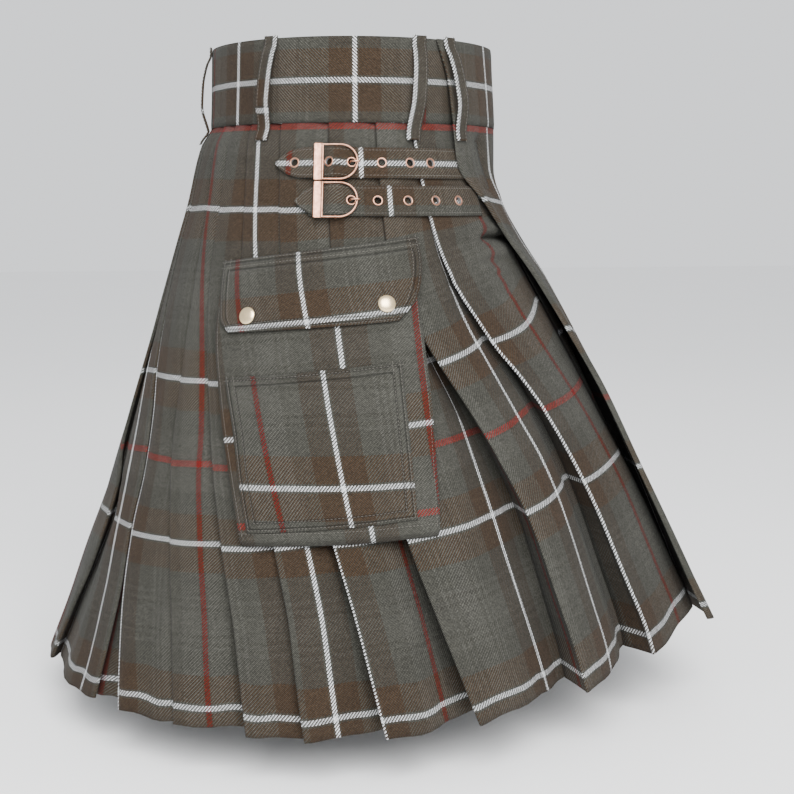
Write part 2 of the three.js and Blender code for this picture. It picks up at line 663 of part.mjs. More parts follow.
// Axes at a place: X along the cloth towards the front, Z straight out of it, Y up the cloth. The
// origin is moved level outwards first, and then straight out of the cloth.
function placeOn(azimuth, z, out, level = 0) {
  const ahead = formPoint(azimuth - 1, z).sub(formPoint(azimuth + 1, z)).normalize();
  const up = formPoint(azimuth, z + 14).sub(formPoint(azimuth, z - 14)).normalize();
  const normal = ahead.clone().cross(up).normalize();
  const square = normal.clone().cross(ahead);
  const origin = formPoint(azimuth, z, level).addScaledVector(normal, out);
  return new THREE.Matrix4().makeBasis(ahead, square, normal).setPosition(origin);
}

// ---- straps, eyelets and buckles ---------------------------------------------------------------

function alongFromBar(strap, azimuth) {
  return radians(strap.bar - azimuth) * formRadius(strap.bar, strap.z);
}

function strapStand(strap, azimuth) {
  return column(STRAP_RISE, 'stand', alongFromBar(strap, azimuth), 'along');
}

function strapBody(strap) {
  const straight = range(6, strap.front, NEAR_BUCKLE.from);
  const nearBuckle = range(10, NEAR_BUCKLE.from, NEAR_BUCKLE.to).slice(1);
  const tail = TAIL_STEPS.map((t) => lerp(NEAR_BUCKLE.to, strap.tip, t));
  const azimuths = [...straight, ...nearBuckle, ...tail];
  const sections = [-1, 0, 1].map((side) => azimuths.map((azimuth) => {
    const taper = clamp((azimuth - strap.taper) / (strap.tip - strap.taper), 0, 1);
    const across = side * (STRAP_WIDTH / 2) * (1 - TIP_TAPER * taper ** TIP_CURVE);
    const place = placeOn(azimuth, strap.z, 0);
    const slope = new THREE.Vector3().setFromMatrixColumn(place, 1).z;
    const normal = new THREE.Vector3().setFromMatrixColumn(place, 2);
    const lying = formPoint(azimuth, strap.z + across * slope);
    return lying.addScaledVector(normal, strapStand(strap, azimuth));
  }));
  return wall(sections.map((section) => section.reverse()), STRAP_WALL);
}

function eyeletPlace(strap, azimuth) {
  const here = placeOn(azimuth, strap.z, strapStand(strap, azimuth));
  const rise = strapStand(strap, azimuth - 1) - strapStand(strap, azimuth + 1);
  const run = alongFromBar(strap, azimuth - 1) - alongFromBar(strap, azimuth + 1);
  const tilt = new THREE.Matrix4().makeRotationY(-Math.atan2(rise, run));
  return here.multiply(tilt);
}

// A body turned about Z from [radius, height] pairs.
function turned(profile, sides) {
  const outline = profile.map(([radius, height]) => new THREE.Vector2(radius, height));
  return new THREE.LatheGeometry(outline, sides).rotateX(Math.PI / 2);
}

function eyeletBody() {
  const half = STRAP_WALL / 2;
  const seat = half + SEAM_GAP;
  const foot = SEAM_GAP - half;
  const { bore, barrel, flange, flangeThick } = EYELET;
  const profile = [
    [bore, foot],
    [barrel, foot],
    [barrel, seat],
    [flange, seat],
    [flange * 0.92, seat + flangeThick * 0.8],
    [bore * 1.27, seat + flangeThick],
    [bore, seat + flangeThick * 0.4],
    [bore, foot],
  ];
  return turned(profile, EYELET_SIDES);
}

function eyeletHole() {
  const radius = EYELET.barrel + SEAM_GAP;
  const drill = new THREE.CylinderGeometry(radius, radius, 14, EYELET_SIDES);
  return drill.rotateX(Math.PI / 2);
}

// The buckle: a flat plate and a D-shaped wire in one frame, with a bar under it.
function buckleBody() {
  const { halfHeight, sideBar, plate, back, arc, base, thick, barRadius, barStand, lug } = BUCKLE;
  const outline = new THREE.Shape();
  outline.moveTo(back, -halfHeight);
  outline.lineTo(arc - halfHeight, -halfHeight);
  outline.absarc(arc - halfHeight, 0, halfHeight, -Math.PI / 2, Math.PI / 2, false);
  outline.lineTo(back, halfHeight);
  outline.closePath();
  const window = new THREE.Path();
  const inner = halfHeight - sideBar;
  window.moveTo(back + plate, -inner);
  window.lineTo(arc - halfHeight, -inner);
  window.absarc(arc - halfHeight, 0, inner, -Math.PI / 2, Math.PI / 2, false);
  window.lineTo(back + plate, inner);
  window.closePath();
  outline.holes.push(window);
  const frame = new THREE.ExtrudeGeometry(outline, { depth: thick, bevelEnabled: false, curveSegments: 14 });
  frame.translate(0, 0, base);
  const bar = new THREE.CylinderGeometry(barRadius, barRadius, 2 * halfHeight - 1, 10);
  bar.translate(0, 0, barStand);
  const legs = [-1, 1].map((side) => {
    const leg = new THREE.BoxGeometry(lug * 2, sideBar - 0.1, base + thick / 2 - barStand + barRadius);
    const middle = (base + thick / 2 + barStand - barRadius) / 2;
    return leg.translate(0, side * (halfHeight - sideBar / 2), middle);
  });
  return join([frame, bar, ...legs]);
}

// A flat strip along a path of [along, stand] points, as wide as asked, lying across Y.
function ribbon(path, thickness, width) {
  const points = path.map(([along, stand]) => new THREE.Vector3(along, stand, 0));
  const edges = [...movedAside(points, thickness / 2), ...movedAside(points, -thickness / 2).reverse()];
  const outline = new THREE.Shape(edges.map((point) => new THREE.Vector2(point.x, point.y)));
  const body = new THREE.ExtrudeGeometry(outline, { depth: width, bevelEnabled: false });
  return body.rotateX(Math.PI / 2).translate(0, width / 2, 0);
}

function roundTheBar(radius, from, to, steps) {
  return range(steps, from, to).map((angle) => [
    radius * Math.cos(radians(angle)),
    BUCKLE.barStand + radius * Math.sin(radians(angle)),
  ]);
}

// How far the form falls away from the flat plane at the bar, by distance along the strap.
function fallAway(strap, along) {
  return along ** 2 / (2 * formRadius(strap.bar, strap.z));
}

// The cloth tab that carries the buckle: sewn to the skirt behind, passing round the bar.
function tabBody(strap) {
  const wrap = BUCKLE.barRadius + SEAM_GAP + TAB.wall / 2;
  const end = alongFromBar(strap, TAB.end);
  const flat = [1, 0.72, 0.44, 0.2].map((t) => [end * t, BUCKLE.barStand - wrap - fallAway(strap, end * t)]);
  const path = [...flat, ...roundTheBar(wrap, -90, 160, 7)];
  const tab = ribbon(path, TAB.wall, TAB.width);
  const slot = new THREE.BoxGeometry(12, TAB.slot, 20).translate(2.5, 0, BUCKLE.barStand);
  return cut(tab, [slot]);
}

// The prong: hooked round the bar, up through the eyelet and on to the frame's arc.
function prongBody() {
  const ring = BUCKLE.barRadius + SEAM_GAP + PRONG.thick / 2;
  const low = BUCKLE.barStand - ring;
  const onArc = BUCKLE.base + BUCKLE.thick + SEAM_GAP + PRONG.thick / 2;
  const path = [
    ...roundTheBar(ring, 20, 270, 8),
    [PRONG.bend, low - 0.2],
    [PRONG.crest, onArc],
    [BUCKLE.arc, onArc],
    [BUCKLE.arc + PRONG.past, onArc - PRONG.droop],
  ];
  return ribbon(path, PRONG.thick, PRONG.width);
}

STRAPS.forEach((strap) => {
  const places = strap.eyelets.map((azimuth) => eyeletPlace(strap, azimuth));
  const body = cut(strapBody(strap), places.map((place) => eyeletHole().applyMatrix4(place)));
  addPiece(`strap_${strap.name}`, body, 'brownCloth');
  places.forEach((place, i) => addPiece(`eyelet_${strap.name}_${i + 1}`, eyeletBody(), 'copper', place));
  const bar = placeOn(strap.bar, strap.z, BAR_OUT);
  addPiece(`buckle_frame_${strap.name}`, buckleBody(), 'copper', bar);
  addPiece(`buckle_tab_${strap.name}`, tabBody(strap), 'brownCloth', bar);
  addPiece(`buckle_prong_${strap.name}`, prongBody(), 'copper', bar);
});

// ---- the cargo pocket --------------------------------------------------------------------------

// One row of a sheet on the form, from its front edge to its back edge.
function sheetRow(row, steps) {
  return range(steps, 0, 1).map((t) => {
    const z = lerp(row.rightZ, row.leftZ, t);
    return formPoint(lerp(row.right, row.left, t), z, row.stand);
  });
}

// The bag: a front with a side wall down to the skirt at each edge and a sloping foot.
function pocketBag() {
  const sections = POCKET_ROWS.map((row) => {
    const front = sheetRow(row, 10);
    const foot = CLOTH + SEAM_GAP + 0.1;
    const low = Math.min(foot, row.stand);
    const rightWall = formPoint(row.right - 0.25, row.rightZ, low);
    const leftWall = formPoint(row.left + 0.25, row.leftZ, low);
    return [rightWall, ...front, leftWall];
  });
  return wall(sections, CLOTH);
}

addPiece('pocket_bag', pocketBag(), 'cloth');
addPiece('pocket_patch', wall(PATCH_ROWS.map((row) => sheetRow(row, 9)), PATCH_WALL), 'cloth');
addPiece('pocket_flap', wall(FLAP_ROWS.map((row) => sheetRow(row, 10)), FLAP_WALL), 'cloth');

function snapBody() {
  const profile = [
    [0, 0],
    [SNAP_RADIUS, 0],
    [SNAP_RADIUS, 0.8],
    [SNAP_RADIUS * 0.82, 1.9],
    [SNAP_RADIUS * 0.5, 2.7],
    [0, 3.0],
  ];
  return turned(profile, 20);
}

SNAPS.forEach((snap) => {
  const seat = FLAP_WALL / 2 + SEAM_GAP + 0.2;
  addPiece(snap.name, snapBody(), 'brass', placeOn(snap.azimuth, snap.z, seat, FLAP_STAND));
});

export default kilt;
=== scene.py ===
"""A worn utility kilt in tartan: waistband, aprons, knife pleats, straps and buckles, cargo pocket.

Sizes in the tables are millimetres; meshes are metres. An azimuth is counted in degrees from the
wearer's front, through the wearer's right and round the back. A stand is a distance outwards from
the form, the surface that the pleats' edges lie on.
"""

import math

import bmesh
import bpy
import numpy as np
from mathutils import Matrix, Vector


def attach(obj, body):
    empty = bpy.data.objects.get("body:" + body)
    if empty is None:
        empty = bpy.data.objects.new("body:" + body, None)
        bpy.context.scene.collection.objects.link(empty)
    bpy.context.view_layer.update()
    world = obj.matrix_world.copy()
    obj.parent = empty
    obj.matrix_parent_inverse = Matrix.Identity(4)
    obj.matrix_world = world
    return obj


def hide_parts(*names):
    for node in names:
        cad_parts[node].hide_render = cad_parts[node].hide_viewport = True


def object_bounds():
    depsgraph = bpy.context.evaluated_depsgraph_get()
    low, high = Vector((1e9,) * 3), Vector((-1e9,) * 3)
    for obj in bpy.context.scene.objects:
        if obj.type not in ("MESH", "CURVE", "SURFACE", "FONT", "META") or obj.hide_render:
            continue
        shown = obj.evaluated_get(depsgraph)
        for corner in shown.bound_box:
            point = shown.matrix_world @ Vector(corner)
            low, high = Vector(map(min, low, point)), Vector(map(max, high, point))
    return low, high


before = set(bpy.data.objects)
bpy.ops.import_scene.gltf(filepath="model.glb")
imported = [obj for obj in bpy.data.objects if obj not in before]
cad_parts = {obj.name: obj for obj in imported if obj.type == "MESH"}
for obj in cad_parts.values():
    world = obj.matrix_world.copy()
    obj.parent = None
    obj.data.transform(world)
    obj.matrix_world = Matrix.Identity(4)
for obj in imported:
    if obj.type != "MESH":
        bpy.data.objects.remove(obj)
CAD_LOW, CAD_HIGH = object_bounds()

bl_info = {
    "name": "Utility kilt",
    "version": (1, 0, 0),
    "blender": (4, 5, 0),
    "location": "3D View > Sidebar > Kilt",
    "description": "Builds a worn tartan utility kilt around its packed frame",
    "category": "Add Mesh",
}

MM = 0.001


def table(columns, *rows):
    """Rows of numbers under named columns, in rising order of the first column."""
    values = np.array(sorted(rows), float)
    return dict(zip(columns.split(), values.T))


# ---- the kilt's own shape, as its solids have it ---------------------------------------------------

BAND_TOP, BAND_FOOT = 37.5, -37.5
SEAM_GAP = 0.3
SKIRT_TOP = BAND_FOOT - SEAM_GAP
HEM_BACK = -547.0
HEM_RISE = table("azimuth rise", (20, 48), (38.4, 24), (57.8, 16), (77.8, 6), (92.4, 0), (180, 0))
SKIRT_CLOTH = 543.0            # cloth from the band's seam down to the hem
CLOTH, BAND_WALL = 1.2, 2.7
FOLD_STEP, WAIST_LAP, FELL = 2.0, 14.0, -145.0

# The form's reach to the sides, the front and the back at each height.
FORM = table(
    "z side front back",
    (40, 153, 140, 128.5), (-37, 155, 142, 131), (-51, 157, 143, 140), (-67, 160, 144.5, 145.5),
    (-107, 172, 155, 155), (-144, 184, 168, 166), (-217, 210, 205, 187.5), (-299, 240, 245, 213),
    (-376, 268, 283, 236.5), (-453, 295, 315, 264.5), (-500, 310, 333, 281), (-547, 321, 342, 299.5),
)

# The pleats' edges on the wearer's right: azimuths at six heights, and at the hem the depth of the
# next layer (stand) and the width folded under (lap). The stand grows from the fell down, sooner
# where early is below 1. turn is +1 where the edge looks to the back. grain is the cloth's own
# coordinate along the edge, at the waist and at the hem.
FOLDS = [dict(zip(("at", "stand", "lap", "early", "turn", "grain"), fold)) for fold in (
    ((75, 71.6, 47.5, 43.3, 41.4, 38.4), 35, 12, 0.8, 1, (500, 500)),
    ((88, 86.8, 67, 62, 60.2, 57.8), 38, 14, 0.45, 1, (316, 324.5)),
    ((103.6, 102.3, 91, 86.8, 83, 77.8), 34, 36, 1, 1, (135, 155)),
    ((121, 117, 105.5, 100.1, 96.4, 92.4), 25, 34, 1, 1, (6, 0)),
    ((135, 130, 117, 111.1, 107.6, 104.5), 12, 30, 1, 1, (-138, -153)),
    ((145.5, 142.5, 127.7, 122, 117.6, 113.6), 22, 32, 1, 1, (-290, -302)),
    ((156, 150, 140.5, 135.2, 130.8, 126.5), 9, 18, 1, 1, (-442, -472)),
    ((168, 168, 152, 148.8, 145.1, 138.7), 20, 20, 1, 1, (-622, -625)),
    ((169.2, 169.2, 153.2, 149.9, 146.8, 146), 10, 22, 1, -1, (-722, -722)),
    ((177.3, 178, 176, 165.5, 168, 172.5), 10, 20, 1, -1, (-930, -909)),
)]
FOLD_HEIGHTS = np.array([-50, FELL, -330, -400, -460, HEM_BACK])
SOFT_FOLD = 8                  # after this one the panel sinks softly to the next one's inner layer
BACK_GRAIN = -937.5            # the cloth's coordinate at the middle of the back: a red line

# Where the pleats start under the aprons, and how far they stand there.
START = table("z azimuth stand", (-37, 45, -1), (-145, 36, 1), (-330, 27, 8), (-547, 22, 18))

# The over apron's section at each height: half its width, how far its corners and its middle lie to
# the front, and the radius of its rolled edge.
OVER_APRON = table(
    "z half corner middle roll",
    (38, 140.5, 62, 140.5, 1.5), (-37.8, 139, 80, 143.7, 2), (-75, 140, 87, 143.5, 4),
    (-107, 134, 114, 150, 5), (-145, 129, 141, 171, 5), (-180, 131, 166.5, 193, 5),
    (-255, 141, 211.5, 229, 5), (-330, 150, 251, 262, 5), (-406, 160, 287.5, 295, 5),
    (-502, 172, 330, 337, 6),
)
APRON_SWEEP, APRON_DIP, APRON_HEM = 53.0, 8.0, -502.0
ROLLED_TO, LEFT_FOLD = 110.0, (2, 6)      # degrees, and the fold's radius at the fell and the hem
UNDERLAY_COLUMNS = 7
UNDER_HEM, UNDER_GAP = -497.0, 5.0
UNDER_ENDS = (55, 32)                     # how far round its left end is, at the waist and the hem
APRON_WHITE = 92.0             # a white line this far from the apron's middle

# The cloth's own coordinates of white lines: one along the warp, and two that cross it.
WHITE, LOW_WHITE, HIGH_WHITE = 125, 165, 315

# Belt loops: azimuth at the top and foot, the cloth's coordinate at the loop's middle, and the
# height of a white line across its cloth, far below its foot where none shows.
LOOPS = {
    "belt_loop_back": (180, 180, 6, -20),
    "belt_loop_right_back": (125, 128.3, -5.2, -26),
    "belt_loop_right": (72.6, 75.5, 5.2, -227),
    "belt_loop_apron_edge": (60.5, 57.5, 5.2, -227),
    "belt_loop_left_back": (235, 231.7, 5.2, -24),
    "belt_loop_left": (302, 302, -5.2, -38),
}
LOOP_WIDTH, LOOP_WALL, LOOP_TOP, LOOP_FOOT = 14.0, 1.8, 39.5, -52.5
LOOP_ROWS = np.concatenate(
    [np.linspace(LOOP_TOP, 24, 12), np.linspace(20, -40, 16), np.linspace(-43, LOOP_FOOT, 6)])
# How far a loop's inner face stands off the band.
LOOP_STAND = table(
    "z gap", (LOOP_TOP, 0.3), (33, 0.3), (22, 4.4), (3, 7.8), (-16, 8.4), (-45, 0.8), (LOOP_FOOT, 0.7)
)

STRAP_WIDTH, STRAP_WALL, STRAP_BAR = 27.8, 2.4, 101.0
STRAPS = {
    "upper": dict(z=-74, front=56.5, taper=110, tip=121, eyelets=(114.2, 102.9, 96.3, 87, 77.8, 70.5)),
    "lower": dict(z=-107.5, front=51.5, taper=104, tip=113.3, eyelets=(96.6, 88.9, 79.8, 70.6, 61.8)),
}
# How far the middle of a strap stands, by its distance to the front of the buckle's bar.
STRAP_RISE = table(
    "along stand", (-60, 2.6), (-34, 2.8), (-26, 4.1), (-11, 4.1), (-1.5, 7.5), (1.5, 7.5),
    (6, 4.9), (11, 4.1), (18, 3.1), (26, 2.5), (200, 2.5),
)
# The buckle in its own axes: X to the front from its bar, Y up the cloth and Z out of it.
BUCKLE = dict(half=16.6, plate=8.9, wire=1.0, back=-19.6, arc=20.2, base=5.5, thick=2.2,
              bar=1.0, bar_stand=3.15)
BUCKLE_LIFT = 0.4
TAB = dict(width=26.0, wall=0.9, end=109.2, slot=4.6)
TAB_GRAIN = (30, 140)          # the cloth's coordinates at the middle of its sewn end
EYELET = dict(bore=3.2, barrel=3.7, flange=4.7)
DRILL = 7                      # how far an eyelet's hole is cut to each side of the strap

# Pocket sheets by levels from the top: azimuth and height of both edges, and how far they stand.
POCKET = table(
    "key left left_z right right_z stand",
    (0, 133, -190, 80.6, -165, 7), (1, 131.4, -226, 80.6, -200, 9), (2, 126, -285, 80.5, -262, 9),
    (3, 121.2, -342, 81.1, -325, 9), (4, 117.5, -389, 81.8, -379, 9), (5, 117.2, -397, 82, -387.5, 1.6),
)
PATCH = table(
    "key left left_z right right_z stand",
    (0, 125.8, -260, 86.2, -243, 11.6), (1, 122, -302, 86, -286, 10.9),
    (2, 119, -344, 85.8, -330, 10.7), (3, 116, -385, 85.7, -372, 10.7),
)
FLAP = table(
    "key left left_z right right_z stand",
    (0, 134.9, -161, 78.1, -138, 2.4), (1, 132.9, -177, 78.4, -154, 8.4),
    (2, 131.4, -193, 79.4, -172, 11.6), (3, 130.1, -210, 82, -194, 12.2),
    (4, 127, -221.5, 86.2, -209, 12.6),
)
PATCH_WALL, FLAP_WALL, FLAP_STAND = 1.4, 2.2, 12.4
# Azimuth and height of each cap.
SNAPS = {"snap_back": (122, -206.5), "snap_front": (88.8, -195)}
SNAP_RADIUS = 7.8

# ---- soft creases ------------------------------------------------------------------------------
# From (azimuth, z) to (azimuth, z); width is the trough's half-width, depth is inwards (mm).
SKIRT_CREASES = [
    # azimuth_0, z_0, azimuth_1, z_1, width, depth
    (32, -142, 52, -140, 3.2, 9.5), (44, -140, 66, -147, 3.2, 3.4), (54, -134, 67, -146, 4, 1.8),
    (36, -131, 55, -130, 6, -3.4), (38, -152, 56, -153, 5.5, -3.2), (57, -161, 70, -184, 6, 1.6),
    (38, -166, 58, -160, 4.5, 3.0), (42, -178, 60, -170, 4.5, 2.4), (44, -172, 56, -166, 4, -1.6),
    (40, -192, 62, -187, 7, 1.8), (38, -206, 58, -214, 9, 1.4),
    (63, -190, 55, -320, 13, 3.2), (67, -170, 66, -240, 9, 2.0), (52, -330, 48, -500, 16, 2.6),
    (58, -240, 50, -300, 10, -1.6), (73, -270, 68, -430, 14, 2.4), (79, -300, 72, -520, 12, -2.0),
    (83, -380, 75, -545, 11, 2.2), (66, -380, 63, -540, 9, 2.0), (90, -420, 84, -550, 13, -2.0),
    (88, -450, 81, -555, 8, 2.4), (100, -410, 96, -550, 12, 2.4), (104, -470, 99, -555, 8, -1.8),
    (108, -420, 110, -550, 7, 2.6), (117, -410, 114, -550, 8, 1.8), (121, -450, 119, -555, 7, -2.0),
    (133, -200, 131, -330, 12, 1.6), (131, -400, 127, -550, 8, 2.6), (137, -300, 133, -420, 9, 1.5),
    (138, -420, 133, -550, 10, 3.2), (142, -440, 137, -555, 6, -2.0), (146, -230, 143, -350, 9, 1.6),
    (156, -240, 150, -380, 10, 2.2), (158, -420, 152, -550, 12, 3.4), (163, -300, 158, -500, 9, -2.4),
    (171, -300, 168, -480, 14, 3.0), (175, -420, 178, -550, 10, 2.2), (182, -200, 181, -420, 9, 1.8),
    (186, -360, 189, -540, 12, 2.6), (194, -280, 199, -500, 14, 3.0), (204, -400, 209, -550, 10, -2.4),
    (202, -180, 207, -330, 10, 1.8), (216, -320, 222, -540, 12, 2.8), (223, -430, 226, -550, 8, 2.0),
    (229, -220, 236, -380, 11, 2.0), (236, -420, 241, -550, 12, 2.6), (248, -300, 255, -520, 13, 2.8),
    (262, -420, 266, -550, 9, -2.2), (259, -200, 268, -360, 12, 2.2), (272, -380, 279, -540, 13, 2.8),
    (284, -230, 296, -420, 13, 2.6), (293, -420, 299, -540, 10, 2.2), (306, -260, 313, -470, 12, 2.6),
]
APRON_CREASES = [
    (46, -40, 42, -97, 9, 11), (54, -50, 50, -100, 5, -2), (34, -46, 32, -110, 6, -1.5),
    (44, -150, 40, -420, 18, 3.0), (49, -80, 39, -150, 8, 3.0), (33, -90, 30, -260, 16, 2.2),
    (28, -260, 30, -500, 20, 3.4), (15, -60, 18, -230, 18, 1.8),
    (12, -280, 9, -505, 22, -2.6), (0, -120, 3, -380, 20, 2.4), (-8, -330, -12, -505, 17, 2.6),
    (-18, -80, -20, -300, 18, 2.0), (-27, -300, -30, -500, 21, -3.0), (-36, -110, -35, -330, 15, 2.6),
    (-42, -360, -41, -500, 14, 2.2),
]

# ---- shape helpers -----------------------------------------------------------------------------


def through(xs, ys, x):
    """Smooth value at x through the points (xs, ys), with no overshoot; xs rise."""
    xs, ys, x = (np.asarray(v, float) for v in (xs, ys, x))
    rise, run = np.diff(ys), np.diff(xs)
    slope = rise / run
    tangent = np.empty_like(ys)
    tangent[0], tangent[-1] = slope[0], slope[-1]
    product = slope[:-1] * slope[1:]
    both = slope[:-1] + slope[1:]
    safe = np.where(product > 0, both, 1.0)
    tangent[1:-1] = np.where(product > 0, 2 * product / safe, 0.0)
    k = np.clip(np.searchsorted(xs, x) - 1, 0, len(xs) - 2)
    t = np.clip((x - xs[k]) / run[k], 0, 1)
    m0, m1 = tangent[k] * run[k], tangent[k + 1] * run[k]
    return ys[k] + t * (m0 + t * (3 * rise[k] - 2 * m0 - m1 + t * (m0 + m1 - 2 * rise[k])))


def column(rows, name, at):
    """A column of a table at a value of its first column."""
    key = next(iter(rows))
    return through(rows[key], rows[name], at)


def mix(a, b, t):
    return a + (b - a) * t


def smoothstep(t):
    t = np.clip(t, 0, 1)
    return t * t * (3 - 2 * t)


def rad(degrees):
    return np.radians(degrees)


def form_radius(azimuth, z):
    """The form's distance from the axis: half ovals that meet at the sides."""
    across = np.sin(rad(azimuth)) / column(FORM, "side", z)
    ahead = np.cos(rad(azimuth))
    reach = np.where(ahead > 0, column(FORM, "front", z), column(FORM, "back", z))
    return 1 / np.hypot(across, ahead / reach)


def point_at(azimuth, radius, z):
    azimuth, radius, z = np.broadcast_arrays(azimuth, radius, z)
    return np.stack([-radius * np.sin(rad(azimuth)), -radius * np.cos(rad(azimuth)), z], -1)


def form_point(azimuth, z, stand=0.0):
    return point_at(azimuth, form_radius(azimuth, z) + stand, z)


def from_front(azimuth):
    turned = np.mod(azimuth, 360)
    return np.minimum(turned, 360 - turned)


def hem_height(azimuth):
    return HEM_BACK + column(HEM_RISE, "rise", from_front(azimuth))


def row_height(row, azimuth, hem=None):
    """Height of a row, which at the back is its own height and elsewhere follows the hem."""
    hem = hem_height(azimuth) if hem is None else hem
    return SKIRT_TOP + (row - SKIRT_TOP) * (hem - SKIRT_TOP) / (HEM_BACK - SKIRT_TOP)


def row_at(z, azimuth):
    return SKIRT_TOP + (z - SKIRT_TOP) * (HEM_BACK - SKIRT_TOP) / (hem_height(azimuth) - SKIRT_TOP)


def below_fell(row):
    return np.clip((FELL - row) / (FELL - HEM_BACK), 0, 1)


def creased(creases, azimuth, z):
    """How far soft troughs and ridges move the cloth outwards at a place."""
    azimuth, z = np.broadcast_arrays(azimuth, z)
    turned = np.mod(azimuth, 360) if creases is not APRON_CREASES else azimuth
    arc = rad(1) * form_radius(azimuth, z)
    moved = np.zeros(azimuth.shape)
    for az_0, z_0, az_1, z_1, width, depth in creases:
        run, drop = (az_1 - az_0) * arc, z_1 - z_0
        across, down = (turned - az_0) * arc, z - z_0
        length = np.hypot(run, drop)
        t = (across * run + down * drop) / length ** 2
        off = (across * drop - down * run) / length / width
        moved -= depth * smoothstep(t / 0.4) * smoothstep((1.12 - t) / 0.3) * np.exp(-off * off)
    return moved


def normals_of(points):
    across = np.gradient(points, axis=1)
    down = np.gradient(points, axis=0)
    normal = np.cross(across, down)
    return normal / np.maximum(np.linalg.norm(normal, axis=-1, keepdims=True), 1e-9)


def lengths(points, axis):
    """Distance along each row or column of a grid of points, from its first point."""
    step = np.linalg.norm(np.diff(points, axis=axis), axis=-1)
    start = np.zeros_like(np.take(step, [0], axis=axis))
    return np.concatenate([start, np.cumsum(step, axis=axis)], axis=axis)


def cloth_up(points):
    """Cloth height above the hem for a grid whose rows run down from the band's seam."""
    down = lengths(points, 0)
    return SKIRT_CLOTH * (1 - down / down[-1:])


# ---- mesh helpers ------------------------------------------------------------------------------


def new_object(name, vertices, faces):
    """A linked mesh object in metres from millimetre points."""
    mesh = bpy.data.meshes.new(name)
    mesh.from_pydata((np.asarray(vertices) * MM).tolist(), [], [list(face) for face in faces])
    piece = bpy.data.objects.new(name, mesh)
    bpy.context.scene.collection.objects.link(piece)
    return piece


def solid(name, vertices, faces, material=None):
    """An object whose closed parts all face outwards; a cutter has no material and stays flat."""
    piece = new_object(name, vertices, faces)
    work = bmesh.new()
    work.from_mesh(piece.data)
    bmesh.ops.recalc_face_normals(work, faces=work.faces)
    work.to_mesh(piece.data)
    work.free()
    if material:
        piece.data.shade_smooth()
        piece.data.materials.append(material)
    return piece


def wall_faces(rows, columns):
    """Faces of a closed wall made of an outer and an inner grid."""
    out, back = np.arange(2 * rows * columns).reshape(2, rows, columns)
    quads = [
        np.stack([out[:-1, :-1], out[1:, :-1], out[1:, 1:], out[:-1, 1:]], -1),
        np.stack([back[:-1, :-1], back[:-1, 1:], back[1:, 1:], back[1:, :-1]], -1),
        np.stack([out[:-1, 0], back[:-1, 0], back[1:, 0], out[1:, 0]], -1),
        np.stack([out[:-1, -1], out[1:, -1], back[1:, -1], back[:-1, -1]], -1),
        np.stack([out[0, :-1], out[0, 1:], back[0, 1:], back[0, :-1]], -1),
        np.stack([out[-1, :-1], back[-1, :-1], back[-1, 1:], out[-1, 1:]], -1),
    ]
    return np.concatenate([q.reshape(-1, 4) for q in quads])


def signed_volume(vertices, faces):
    a, b, c, d = (vertices[faces[:, k]] for k in range(4))
    first = np.einsum("ij,ij->i", a, np.cross(b, c))
    second = np.einsum("ij,ij->i", a, np.cross(c, d))
    return (first + second).sum() / 6


def cloth_wall(name, points, cloth, thickness, material, soften=0.0, hems=None):
    """A closed thin shell on a grid of middle points, with its cloth coordinates.

    hems gives, for the sides first, last, top and foot, how far their hem lines lie from the edge
    compared with the hem group's own distances.
    """
    rows, columns = points.shape[:2]
    normal = normals_of(points)
    half = np.full((rows, columns, 1), thickness / 2)
    if soften:
        half[:, [0, -1]] *= soften
        half[[0, -1], :] *= soften
    vertices = np.concatenate([(points + normal * half).reshape(-1, 3),
                               (points - normal * half).reshape(-1, 3)])
    faces = wall_faces(rows, columns)
    if signed_volume(vertices, faces) < 0:
        faces = faces[:, ::-1]
    piece = new_object(name, vertices, faces.tolist())
    corner = np.zeros(len(piece.data.loops), np.int32)
    piece.data.loops.foreach_get("vertex_index", corner)
    uvs = np.concatenate([cloth.reshape(-1, 2)] * 2)[corner] * MM
    layer = piece.data.uv_layers.new(name="cloth")
    layer.data.foreach_set("uv", uvs.astype(np.float32).ravel())
    piece.data.shade_smooth()
    piece.data.materials.append(material)
    piece.data.validate()
    if hems:
        along, down = lengths(points, 1), lengths(points, 0)
        away = {"first": along, "last": along[:, -1:] - along, "top": down, "foot": down[-1:] - down}
        edge = np.min([away[side] / spread for side, spread in hems.items()], axis=0)
        marks = piece.data.attributes.new("hem edge", "FLOAT", "POINT")
        marks.data.foreach_set("value", np.concatenate([edge.ravel()] * 2).astype(np.float32))
    return piece


def bar_faces(rings, sides):
    """Faces of a bar with closed ends, whose rings of points follow each other."""
    index = np.arange(rings * sides).reshape(rings, sides)
    low, high = index[:-1], index[1:]
    faces = np.stack([low, np.roll(low, -1, 1), np.roll(high, -1, 1), high], -1)
    return faces.reshape(-1, 4).tolist() + [index[0][::-1].tolist(), index[-1].tolist()]


def tube(path, radius, sides, across, flat=1.0):
    """Vertices and faces of a round bar along a path; flat is its thickness against its width."""
    path, across = np.asarray(path, float), np.asarray(across, float)
    tangent = np.gradient(path, axis=0)
    tangent /= np.linalg.norm(tangent, axis=1, keepdims=True)
    side = across - (tangent @ across)[:, None] * tangent
    side /= np.linalg.norm(side, axis=1, keepdims=True)
    up = np.cross(tangent, side)
    turn = np.linspace(0, 2 * math.pi, sides, endpoint=False)
    radius = np.broadcast_to(radius, len(path))[:, None, None]
    ring = side[:, None] * np.cos(turn)[:, None] + up[:, None] * np.sin(turn)[:, None] * flat
    return (path[:, None] + ring * radius).reshape(-1, 3), bar_faces(len(path), sides)


